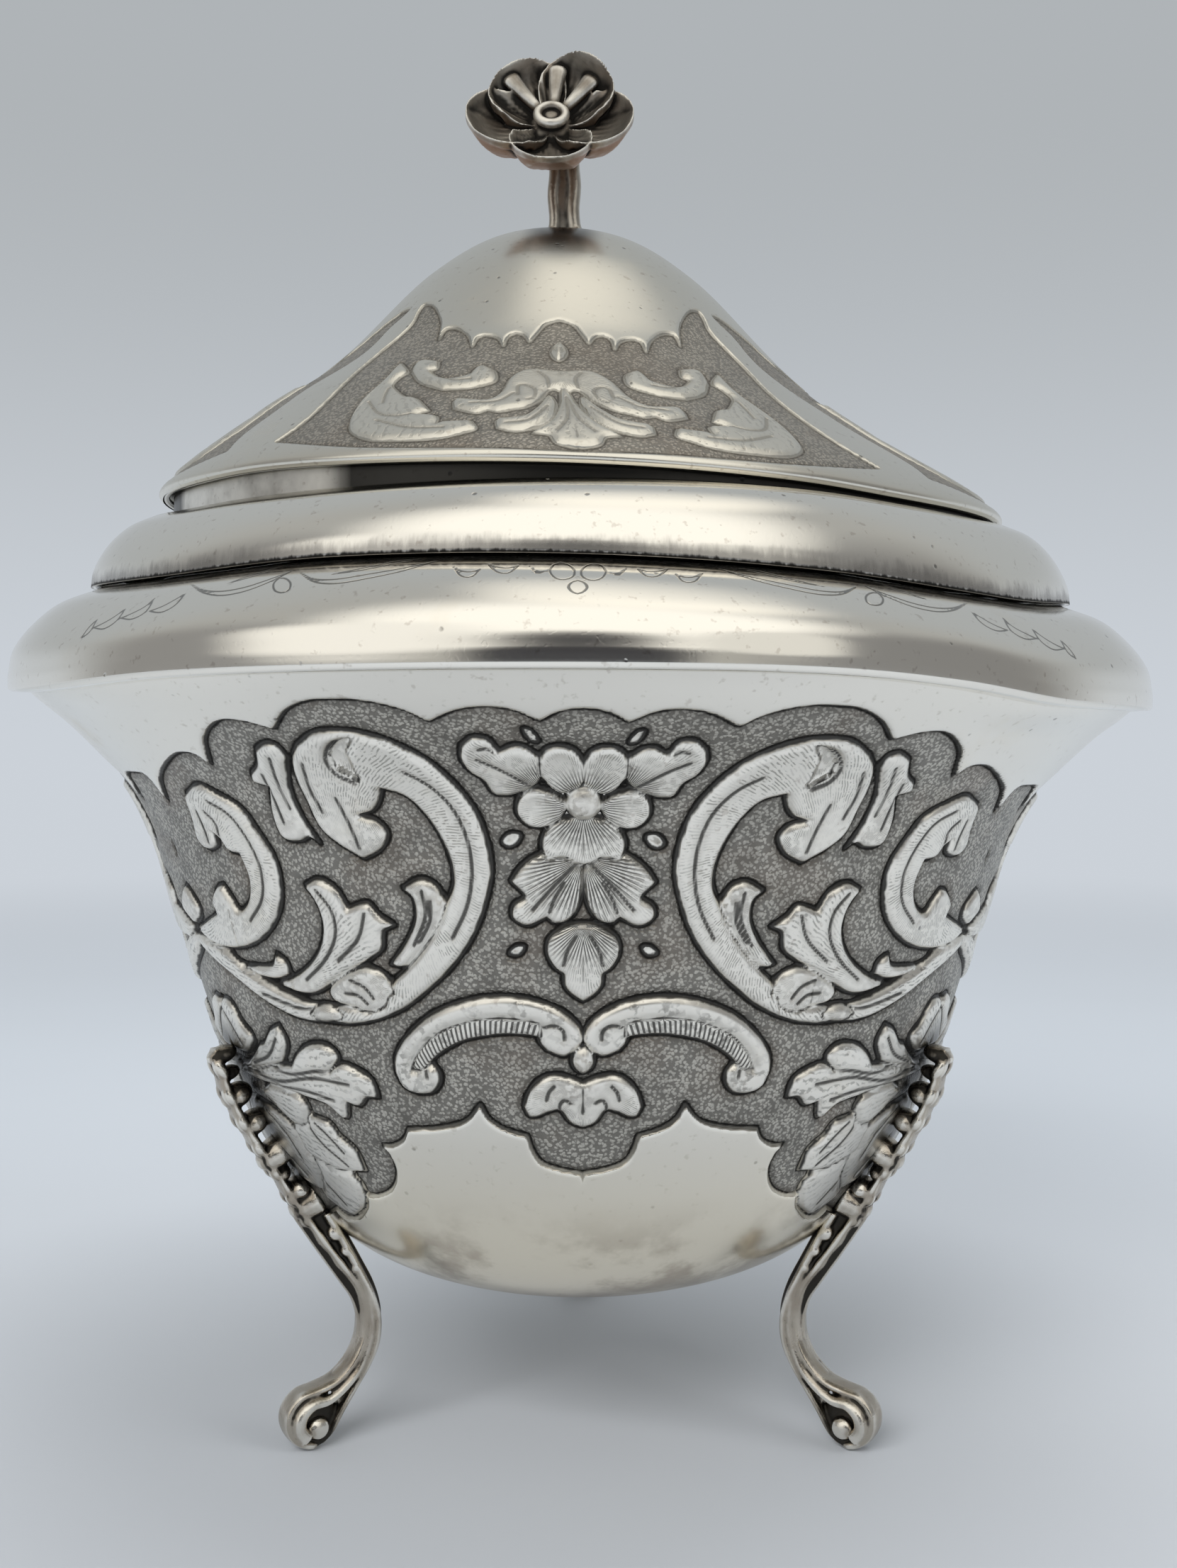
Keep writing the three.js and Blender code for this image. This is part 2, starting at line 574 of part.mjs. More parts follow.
function makeLeg() {
  const { strap, shaft } = makeLegLine();
  const ankle = [
    (SHAFT_NECK_RADIUS + SCROLL_CENTRE_RADIUS - SCROLL_RADIUS) / 2 + 0.5,
    (SHAFT_NECK_Z + SCROLL_CENTRE_Z) / 2 - 0.6,
  ];
  const scrollSteps = 9;
  const upper = smooth([...strap, ...shaft, ankle, scrollPoint(0), scrollPoint(0.12)], 16);
  const shaftSize = (share) => {
    const growth = THREE.MathUtils.smoothstep(share, 0.25, 0.6);
    const taper = THREE.MathUtils.smoothstep(share, 0.72, 1);
    const full = THREE.MathUtils.lerp(STRAP_THICKNESS, SHAFT_THICKNESS, growth);
    const width = THREE.MathUtils.lerp(STRAP_WIDTH, SHAFT_WIDTH, growth);
    return [THREE.MathUtils.lerp(full, SCROLL_RIBBON, taper), width];
  };
  const curl = Array.from({ length: scrollSteps + 1 }, (_, i) => scrollPoint(i / scrollSteps));
  const curlLine = curl.map(([x, y]) => new THREE.Vector2(x, y));
  const parts = [bar(upper, shaftSize), bar(curlLine, () => [SCROLL_RIBBON, SCROLL_WIDTH])];
  for (let i = 0; i < KNOB_COUNT; i += 1) {
    const z = STRAP_TOP_Z + (i / (KNOB_COUNT - 1)) * (STRAP_LEAVE_Z - STRAP_TOP_Z);
    const [radius] = strapPoint(z, KNOB_RADIUS - SEAT);
    parts.push(new THREE.SphereGeometry(KNOB_RADIUS, 8, 6).translate(radius, 0, z));
  }
  const ball = new THREE.SphereGeometry(SCROLL_BALL_RADIUS, 10, 7);
  parts.push(ball.translate(SCROLL_CENTRE_RADIUS, 0, SCROLL_CENTRE_Z));
  const floorSide = 4 * SCROLL_CENTRE_RADIUS;
  const floor = block(floorSide, floorSide, floorSide, 0, 0, -floorSide / 2);
  return geometryOf(union(parts).subtract(makeBowlRoom()).subtract(solid(floor)));
}

// Assembly

const box = new THREE.Group();

function place(parent, name, geometry, look) {
  const mesh = new THREE.Mesh(geometry, new THREE.MeshStandardMaterial(look));
  mesh.name = name;
  parent.add(mesh);
  return mesh;
}

place(box, 'bowl', makeBowl(), CHASED_SILVER);
place(box, 'shoulder_ring', makeShoulderRing(), SILVER);
place(box, 'collar_ring', makeCollarRing(), SILVER);

const legNames = ['leg_front_right', 'leg_back', 'leg_front_left'];
const firstLegAngle = -Math.PI / 6;
for (let i = 0; i < LEG_COUNT; i += 1) {
  const leg = place(box, legNames[i], makeLeg(), CAST_SILVER);
  leg.rotation.z = firstLegAngle + (i / LEG_COUNT) * 2 * Math.PI;
}

place(box, 'hinge_box_leaf', makeBoxLeaf(), CAST_SILVER);
const pinEnd = BARREL_LENGTH / 2 + PIN_OVERHANG;
place(box, 'hinge_pin', rodAlongX(PIN_RADIUS, -pinEnd, pinEnd, HINGE_Y, HINGE_Z), STEEL);

const lid = new THREE.Group();
place(lid, 'lid_dome', makeLidDome(), LID_SILVER);
place(lid, 'lid_edge_wire', makeEdgeWire(), LID_SILVER);
place(lid, 'lid_bezel', makeBezel(), SILVER);
place(lid, 'hinge_lid_leaf', makeLidLeaf(), CAST_SILVER);

const finial = new THREE.Group();
place(finial, 'finial_stem', geometryOf(makeStem()), CAST_SILVER);
place(finial, 'finial_flower', makeFlower(), CAST_SILVER);
const washer = ring(STUD_HOLE, WASHER_RADIUS, washerTopZ - WASHER_THICKNESS, washerTopZ, 24);
place(finial, 'finial_washer', washer, CAST_SILVER);
place(finial, 'finial_nut', makeNut(), STEEL);
finial.position.x = CROWN_SIDE;
lid.add(finial);
box.add(lid);

export default box;
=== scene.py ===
"""Looks of a round silver biscuit box: chased bowl and lid, polished rings, cast legs, hinge and flower.

Blender works in metres, +Z up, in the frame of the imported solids, with the front facing -Y. The classes of
the pieces hold their sizes in millimetres, and MeshMaker turns them into metres. Points of the chased
ornament are pixels of the 1661 x 2212 photograph. ChasedPanel carries them onto the turned surface along the
rays of PhotoView.
"""

import logging
import math
from dataclasses import dataclass
from enum import Enum
from typing import Callable, Iterator, Optional, Sequence, Union

import bpy
import numpy as np
from mathutils import Matrix, Vector


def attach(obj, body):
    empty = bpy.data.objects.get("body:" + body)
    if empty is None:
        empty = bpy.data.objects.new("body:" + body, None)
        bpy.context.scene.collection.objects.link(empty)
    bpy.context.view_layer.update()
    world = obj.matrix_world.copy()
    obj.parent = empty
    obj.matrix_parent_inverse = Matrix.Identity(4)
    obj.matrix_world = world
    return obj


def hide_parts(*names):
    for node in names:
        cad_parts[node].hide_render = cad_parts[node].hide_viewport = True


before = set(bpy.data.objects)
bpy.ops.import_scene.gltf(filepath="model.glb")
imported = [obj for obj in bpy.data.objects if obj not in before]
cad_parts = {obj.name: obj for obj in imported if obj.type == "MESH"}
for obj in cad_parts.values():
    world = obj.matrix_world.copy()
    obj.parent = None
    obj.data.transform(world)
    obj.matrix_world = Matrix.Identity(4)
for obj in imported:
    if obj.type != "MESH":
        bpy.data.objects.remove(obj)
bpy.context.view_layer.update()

MM = 0.001
FAR = 5.0
LINE_STEPS = 40
UNHATCHED = (0.0, 0.0, FAR)
LOG = logging.getLogger("biscuit_box")
Pair = tuple[float, float]
Stroke = Sequence[Pair]
Colour = tuple[float, float, float, float]
Shell = tuple[np.ndarray, np.ndarray]


# Lines and fields


def smooth_line(stations: Stroke, per_span: int = 12, closed: bool = False) -> np.ndarray:
    """Draws one smooth curve through the stations.

    Args:
        stations: Points that the curve passes through.
        per_span: Points from one station to the next.
        closed: Whether the curve returns to its first station.

    Returns:
        The curve's points, one row each.
    """
    points = np.asarray(stations, float)
    if closed:
        framed = np.vstack([points[-1:], points, points[:2]])
    else:
        framed = np.vstack([2 * points[0] - points[1], points, 2 * points[-1] - points[-2]])
    share = np.linspace(0, 1, per_span, endpoint=False)[:, None]
    runs = []
    for before, start, end, after in zip(framed, framed[1:], framed[2:], framed[3:]):
        lead, span, trail = (
            max(np.linalg.norm(b - a), 1e-6) ** 0.5
            for a, b in ((before, start), (start, end), (end, after))
        )
        leave = ((start - before) / lead - (end - before) / (lead + span)) * span + (end - start)
        arrive = (end - start) - ((after - start) / (span + trail) - (after - end) / trail) * span
        runs.append(
            start * (1 - share) ** 2 * (1 + 2 * share)
            + end * share**2 * (3 - 2 * share)
            + leave * share * (1 - share) ** 2
            - arrive * share**2 * (1 - share)
        )
    if not closed:
        runs.append(points[-1:])
    return np.vstack(runs)


def arc_lengths(line: np.ndarray) -> np.ndarray:
    """Returns the distance along a line at each of its points."""
    return np.concatenate([[0.0], np.cumsum(np.linalg.norm(np.diff(line, axis=0), axis=1))])


def points_at(line: np.ndarray, reach: np.ndarray, wanted: Sequence[float]) -> np.ndarray:
    """Returns the line's points where its reach has the wanted values."""
    return np.column_stack([np.interp(wanted, reach, column) for column in line.T])


def spaced(line: np.ndarray, spacing: float) -> np.ndarray:
    """Returns points evenly spaced along a line, about a spacing apart."""
    reach = arc_lengths(line)
    count = max(int(round(reach[-1] / spacing)), 1) + 1
    return points_at(line, reach, np.linspace(0, reach[-1], count))


def line_normals(line: np.ndarray) -> np.ndarray:
    """Returns unit normals to the right of a line's direction."""
    along = np.gradient(line, axis=0)
    along /= np.maximum(np.linalg.norm(along, axis=1, keepdims=True), 1e-9)
    return np.column_stack([along[:, 1], -along[:, 0]])


def ease(value: np.ndarray, low: float, high: float) -> np.ndarray:
    """Goes smoothly from 0 at low to 1 at high."""
    share = np.clip((value - low) / (high - low), 0.0, 1.0)
    return share * share * (3 - 2 * share)


def bell(value: np.ndarray, centre: float, width: float) -> np.ndarray:
    """Returns a bell of height 1 and the given half width round a centre."""
    return np.exp(-(((value - centre) / width) ** 2))


def full_turn(count: int) -> np.ndarray:
    """Returns evenly spaced angles round a circle."""
    return np.linspace(0, 2 * math.pi, count + 1)[:-1]


def round_section(middle: Pair, size: float, sides: int = 16) -> np.ndarray:
    """Returns the circle of a round wire, as rows of radius and height."""
    turn = full_turn(sides)
    return np.column_stack([middle[0] + size * np.cos(turn), middle[1] + size * np.sin(turn)])


def rotated(points: np.ndarray, angle: float, first: int = 0, second: int = 1) -> np.ndarray:
    """Turns points by an angle in radians, in the plane of two of their columns."""
    moved = points.copy()
    moved[:, first] = points[:, first] * math.cos(angle) - points[:, second] * math.sin(angle)
    moved[:, second] = points[:, first] * math.sin(angle) + points[:, second] * math.cos(angle)
    return moved


def outline(strokes: Sequence[Stroke], per_span: int = 6) -> np.ndarray:
    """Joins smooth strokes into a closed outline, with sharp corners between them.

    Args:
        strokes: Each starts where the one before it ended. A single stroke has no corner.
        per_span: Points from one station to the next.

    Returns:
        The outline's points.
    """
    first = strokes[0][0]
    if len(strokes) == 1:
        return smooth_line(strokes[0], per_span, closed=True)
    runs = []
    start = None
    for number, stroke in enumerate(strokes):
        stations = list(stroke) if start is None else [start, *stroke]
        if number == len(strokes) - 1 and stations[-1] != first:
            stations.append(first)
        start = stations[-1]
        runs.append(smooth_line(stations, per_span))
    return np.vstack([run[:-1] for run in runs] + [runs[-1][-1:]])


@dataclass(frozen=True)
class PhotoView:
    """Where the photograph was taken from: a level camera in front of the box, placed in millimetres."""

    width_px: float = 1661.0
    height_px: float = 2212.0
    focal_px: float = 2328.0
    distance: float = 244.0
    height: float = 94.0
    side: float = 1.1
    horizon_px: float = 1060.0
    sensor: float = 36.0

    def ray(self, x_px: np.ndarray, y_px: np.ndarray) -> tuple[np.ndarray, np.ndarray]:
        """Returns how far sideways and up a ray goes for each millimetre of depth."""
        return (x_px - self.width_px / 2) / self.focal_px, (self.horizon_px - y_px) / self.focal_px

    def place_camera(self) -> None:
        """Sets up the camera at the photograph's place, its level view shifted to the picture's frame."""
        lens = bpy.data.cameras.new("photo_camera")
        lens.sensor_fit = "VERTICAL"
        lens.sensor_height = self.sensor
        lens.sensor_width = self.sensor * self.width_px / self.height_px
        lens.lens = self.focal_px / self.height_px * self.sensor
        lens.shift_y = (self.horizon_px - self.height_px / 2) / self.height_px
        lens.clip_start = MM
        camera = new_object("photo_camera", lens)
        camera.location = Vector((self.side, -self.distance, self.height)) * MM
        camera.rotation_euler = (math.pi / 2, 0, 0)
        bpy.context.scene.camera = camera


VIEW = PhotoView()


# Meshes


def new_object(name: str, data: bpy.types.ID) -> bpy.types.Object:
    """Puts a new object with this data into the scene."""
    made = bpy.data.objects.new(name, data)
    bpy.context.scene.collection.objects.link(made)
    return made


class MeshMaker:
    """Makes mesh objects at the origin from points in millimetres."""

    @staticmethod
    def build(
        name: str,
        points: np.ndarray,
        faces: np.ndarray,
        layers: Optional[dict[str, np.ndarray]] = None,
    ) -> bpy.types.Object:
        """Builds a smooth-shaded mesh.

        Args:
            name: The object's name.
            points: One row of x, y and z for each vertex, in millimetres.
            faces: One row of vertex numbers for each quad.
            layers: Named values for each vertex, one or three numbers each.

        Returns:
            The new object.
        """
        mesh = bpy.data.meshes.new(name)
        mesh.vertices.add(len(points))
        mesh.vertices.foreach_set("co", (points * MM).astype(np.float32).ravel())
        mesh.loops.add(faces.size)
        mesh.loops.foreach_set("vertex_index", faces.astype(np.int32).ravel())
        mesh.polygons.add(len(faces))
        mesh.polygons.foreach_set("loop_start", np.arange(0, faces.size, faces.shape[1], dtype=np.int32))
        mesh.polygons.foreach_set("use_smooth", np.ones(len(faces), bool))
        mesh.update(calc_edges=True)
        for layer, values in (layers or {}).items():
            MeshMaker.add_layer(mesh, layer, values)
        return new_object(name, mesh)

    @staticmethod
    def add_layer(mesh: bpy.types.Mesh, layer: str, values: np.ndarray) -> None:
        """Stores a named value, or three, with each vertex."""
        wide = values.ndim == 2
        stored = mesh.attributes.new(layer, "FLOAT_VECTOR" if wide else "FLOAT", "POINT")
        stored.data.foreach_set("vector" if wide else "value", values.astype(np.float32).ravel())

    @staticmethod
    def read(items: Sequence, key: str, width: int = 3, kind: type = np.float32) -> np.ndarray:
        """Returns a row of numbers for each vertex, normal or edge."""
        values = np.empty(len(items) * width, kind)
        items.foreach_get(key, values)
        return values.reshape(-1, width)

    @staticmethod
    def grid_faces(rows: int, columns: int, wrap_rows: bool = False) -> np.ndarray:
        """Returns the quads of a tube whose vertices are numbered row by row."""
        row = np.arange(rows if wrap_rows else rows - 1)[:, None]
        column = np.arange(columns)[None, :]
        next_row = (row + 1) % rows
        next_column = (column + 1) % columns
        corners = [row * columns + column, row * columns + next_column]
        corners += [next_row * columns + next_column, next_row * columns + column]
        return np.stack([np.broadcast_to(c, (len(row), columns)) for c in corners], -1).reshape(-1, 4)

    @staticmethod
    def stack(parts: Sequence[Shell]) -> Shell:
        """Joins several sets of points and quads into one."""
        starts = np.cumsum([0] + [len(points) for points, _ in parts])
        faces = [quads + start for (_, quads), start in zip(parts, starts)]
        return np.vstack([points for points, _ in parts]), np.vstack(faces)


class Casting:
    """Fuses overlapping closed forms into the skin of one casting."""

    @staticmethod
    def fuse(name: str, parts: Sequence[Shell], grain: float, rounds: int = 24) -> bpy.types.Object:
        """Joins closed forms and covers them with one even skin.

        Args:
            name: The object's name.
            parts: Points and quads of each form.
            grain: Size of the skin's quads, in millimetres.
            rounds: How far round each vertex its hollow is measured.

        Returns:
            The casting, with the depth of its hollows stored as "hollow".
        """
        rough = MeshMaker.build(f"{name}_rough", *MeshMaker.stack(parts))
        skin = rough.modifiers.new("skin", "REMESH")
        skin.mode = "VOXEL"
        skin.voxel_size = grain * MM
        skin.use_smooth_shade = True
        soften = rough.modifiers.new("soften", "SMOOTH")
        soften.factor = 0.5
        soften.iterations = 2
        seen = rough.evaluated_get(bpy.context.evaluated_depsgraph_get())
        mesh = bpy.data.meshes.new_from_object(seen)
        mesh.name = name
        source = rough.data
        bpy.data.objects.remove(rough)
        bpy.data.meshes.remove(source)
        MeshMaker.add_layer(mesh, "hollow", Casting.hollows(mesh, rounds))
        return new_object(name, mesh)

    @staticmethod
    def hollows(mesh: bpy.types.Mesh, rounds: int, pull: float = 0.65) -> np.ndarray:
        """Returns how deep each vertex lies below the metal round it, in millimetres.

        Args:
            mesh: The casting's skin.
            rounds: How often each vertex moves towards the vertices next to it.
            pull: How far it moves each time, as a share of the way.
        """
        count = len(mesh.vertices)
        place = MeshMaker.read(mesh.vertices, "co").astype(float)
        facing = MeshMaker.read(mesh.vertex_normals, "vector")
        first, second = MeshMaker.read(mesh.edges, "vertices", 2, np.int32).T
        near = np.maximum(np.bincount(first, minlength=count) + np.bincount(second, minlength=count), 1)
        blurred = place.copy()
        for _ in range(rounds):
            total = np.zeros_like(blurred)
            for axis in range(3):
                total[:, axis] += np.bincount(first, blurred[second, axis], count)
                total[:, axis] += np.bincount(second, blurred[first, axis], count)
            blurred = (1 - pull) * blurred + pull * total / near[:, None]
        return np.sum((blurred - place) * facing, axis=1) / MM

    @staticmethod
    def swept(centre: np.ndarray, half_sizes: np.ndarray, sides: int = 16, squareness: float = 3.0) -> Shell:
        """Sweeps a rounded section along a line in the upright plane of radius and height.

        Args:
            centre: Rows of radius and height, evenly spaced.
            half_sizes: Rows of half the thickness, in the plane, and half the width, across it.
            sides: Points round the section.
            squareness: 2 gives an ellipse, and more a squarer section.

        Returns:
            Points (radius, across, height) and quads of a closed form.
        """
        turn = (np.arange(sides) + 0.5) * 2 * math.pi / sides
        bow = (np.abs(np.cos(turn)) ** squareness + np.abs(np.sin(turn)) ** squareness) ** (-1 / squareness)
        thick = half_sizes[:, :1] * (bow * np.cos(turn))
        across = half_sizes[:, 1:] * (bow * np.sin(turn))
        plane = centre[:, None, :] + line_normals(centre)[:, None, :] * thick[..., None]
        return Casting.capped(np.stack([plane[..., 0], across, plane[..., 1]], -1))

    @staticmethod
    def capped(rings: np.ndarray) -> Shell:
        """Closes a tube of rings with a point in the middle of its first and last ring."""
        ends = (rings[:1], rings[-1:])
        start, end = (np.repeat(ring.mean(1, keepdims=True), rings.shape[1], 1) for ring in ends)
        grid = np.concatenate([start, rings, end], 0)
        return grid.reshape(-1, 3), MeshMaker.grid_faces(*grid.shape[:2])

    @staticmethod
    def blob(middle: Sequence[float], radii: Sequence[float], lean: float = 0.0, sides: int = 20) -> Shell:
        """Returns an egg-shaped form.

        Args:
            middle: Radius, across and height of its middle.
            radii: Its half sizes along the same three directions.
            lean: How far it leans outward from upright, in radians.
            sides: Points round it.
        """
        up = np.linspace(-math.pi / 2, math.pi / 2, sides // 2 + 1)[:, None]
        turn = np.arange(sides) * 2 * math.pi / sides
        unit = [np.cos(up) * np.cos(turn), np.cos(up) * np.sin(turn), np.sin(up) * np.ones(sides)]
        shape = np.stack(unit, -1).reshape(-1, 3) * np.asarray(radii)
        return rotated(shape, -lean, 0, 2) + np.asarray(middle), MeshMaker.grid_faces(len(up), sides)


def padded(values: np.ndarray, count: int, rest: Union[float, Sequence[float]] = 0.0) -> np.ndarray:
    """Lengthens an outer skin's values to a count, with the same value for each inner vertex."""
    return np.concatenate([values, np.broadcast_to(rest, (count - len(values), *values.shape[1:]))])


@dataclass(frozen=True)
class Settling:
    """How knocks and wear have moved the upper edge, the rings and the lid out of true.

    Each rise is a line of the angle from the front, in degrees and positive to the right, and the
    millimetres that the metal stands above its true height there. The back, where the hinge is, is true.
    Each span is a stretch of height over which one movement passes into the next.
    """

    rim_rise: Stroke = (
        (-180, 0.0), (-106, 1.5), (-75, 0.7), (-54, -0.2), (-33, 0.6), (0, 0.76), (20, 0.4), (31, -0.6),
        (43, -2.2), (54, -2.4), (80, -1.8), (106, -1.3), (180, 0.0),
    )
    seam_rise: Stroke = (
        (-180, 0.0), (-106, 0.6), (-75, -1.2), (-55, -2.5), (-43, -2.8), (-23, -2.3), (0, -2.6), (23, -3.8),
        (40, -5.0), (52, -5.2), (75, -3.5), (106, -1.6), (180, 0.0),
    )
    mouth_rise: Stroke = (
        (-180, 0.0), (-106, 1.5), (-75, -1.0), (-55, -2.7), (-40, -3.0), (0, -2.95), (25, -3.3), (40, -3.9),
        (55, -3.9), (75, -2.6), (106, -1.4), (180, 0.0),
    )
    lid_rise: Stroke = (
        (-180, 0.0), (-106, 1.5), (-75, 0.7), (-55, -0.2), (-40, -0.5), (-25, -1.1), (0, -2.0), (25, -3.1),
        (40, -3.8), (55, -3.7), (80, -2.8), (106, -1.9), (180, 0.0),
    )
    side_slope: float = 0.0165
    crown_slope: float = 0.024
    wall_span: Pair = (62.0, 97.0)
    rim_span: Pair = (96.5, 101.5)
    shoulder_span: Pair = (102.0, 117.3)
    collar_span: Pair = (118.0, 127.0)
    dome_span: Pair = (129.4, 152.0)

    @staticmethod
    def rise_at(rise: Stroke, points: np.ndarray) -> np.ndarray:
        """Returns the rise at each point's angle from the front."""
        line = smooth_line(rise, 10)
        angle = np.degrees(np.arctan2(points[:, 0], -points[:, 1]))
        return np.interp(angle, line[:, 0], line[:, 1])

    def box(self, points: np.ndarray) -> np.ndarray:
        """Moves points of the bowl and rings."""
        height = points[:, 2]
        low = -self.side_slope * points[:, 0] * ease(height, *self.wall_span)
        rises = (self.rim_rise, self.seam_rise, self.mouth_rise)
        rim, seam, mouth = (self.rise_at(rise, points) for rise in rises)
        upper = rim + (seam - rim) * ease(height, *self.shoulder_span)
        upper = upper + (mouth - seam) * ease(height, *self.collar_span)
        share = ease(height, *self.rim_span)
        moved = points.copy()
        moved[:, 2] += low * (1 - share) + upper * share
        return moved

    def lid(self, points: np.ndarray) -> np.ndarray:
        """Moves points of the lid and what is fixed on it."""
        edge = self.rise_at(self.lid_rise, points)
        crown = -self.crown_slope * points[:, 0]
        moved = points.copy()
        moved[:, 2] += edge + (crown - edge) * ease(points[:, 2], *self.dome_span)
        return moved

    def at_front(self, line: np.ndarray, move: Callable[[np.ndarray], np.ndarray]) -> np.ndarray:
        """Returns a line of radius and height as it stands at the front."""
        front = np.column_stack([np.zeros(len(line)), -np.maximum(line[:, 0], 1e-3), line[:, 1]])
        return np.column_stack([line[:, 0], move(front)[:, 2]])


SETTLING = Settling()


@dataclass
class TurnedSkin:
    """A turned surface: a line of radius and height, revolved in even steps.

    The first column faces the middle of a chased panel, and the columns run anticlockwise seen from above.
    """

    line: np.ndarray
    columns: int
    first_angle: float = -math.pi / 2

    def points(self, height: Union[float, np.ndarray] = 0.0) -> np.ndarray:
        """Returns the grid's points, each moved out along the surface's normal.

        Args:
            height: How far each point moves, one row for each point of the line.
        """
        angles = self.first_angle + np.arange(self.columns) * 2 * math.pi / self.columns
        outward = line_normals(self.line)
        lift = np.zeros((len(self.line), self.columns)) + height
        radius = self.line[:, :1] + outward[:, :1] * lift
        rise = self.line[:, 1:] + outward[:, 1:] * lift
        return np.stack([radius * np.cos(angles), radius * np.sin(angles), rise], -1).reshape(-1, 3)

    def faces(self, closed_line: bool = False) -> np.ndarray:
        """Returns the quads, facing to the right of the line's direction."""
        return MeshMaker.grid_faces(len(self.line), self.columns, wrap_rows=closed_line)

    def shell(self, closed_line: bool = False) -> Shell:
        """Returns the plain skin's points and quads."""
        return self.points(), self.faces(closed_line)


# Chased ornament


@dataclass(frozen=True)
class Section:
    """How a motif stands off the ground, in millimetres."""

    rise: float
    shoulder: float
    dish: float = 0.0


class Form(Enum):
    """What a chased motif is, with its section."""

    SCROLL = Section(rise=0.66, shoulder=0.85)
    LEAF = Section(rise=0.58, shoulder=0.8)
    PETAL = Section(rise=0.5, shoulder=0.5, dish=0.16)
    BEAD = Section(rise=0.8, shoulder=1.4)
    RIBBED = Section(rise=0.35, shoulder=0.4)
    CUT = Section(rise=-0.35, shoulder=0.4)
    LOW = Section(rise=0.34, shoulder=0.9)
    GRAVED = Section(rise=0.0, shoulder=0.4)

    def motif(self, *strokes: Stroke, **details) -> "Motif":
        """Returns a motif of this form, each stroke starting where the one before it ended."""
        return Motif(self, strokes, **details)


@dataclass(frozen=True)
class Motif:
    """One chased shape. Its points are pixels of the photograph.

    Args:
        form: What it is.
        strokes: Its outline, with sharp corners between the strokes.
        veins: Grooves on it.
        root: Where its tool marks spread from, or the outline's first point.
        hatch: How far fine ribs reach from their centre, in millimetres.
        hatch_from: The centre of the ribs, or the root.
        hatch_count: Ribs in a full circle.
        lines: Tool marks in each radian.
        slant: How much the tool marks turn for each millimetre from the root.
        scale: Its height as a share of the form's.
    """

    form: Form
    strokes: Sequence[Stroke]
    veins: Sequence[Stroke] = ()
    root: Optional[Pair] = None
    hatch: float = 0.0
    hatch_from: Optional[Pair] = None
    hatch_count: int = 72
    lines: float = 26.0
    slant: float = 0.0
    scale: float = 1.0


@dataclass
class ReliefField:
    """Values over half a panel: height, distance to an edge, grain of the tool marks and hatching."""

    height: np.ndarray
    edge: np.ndarray
    grain: np.ndarray
    hatch: np.ndarray


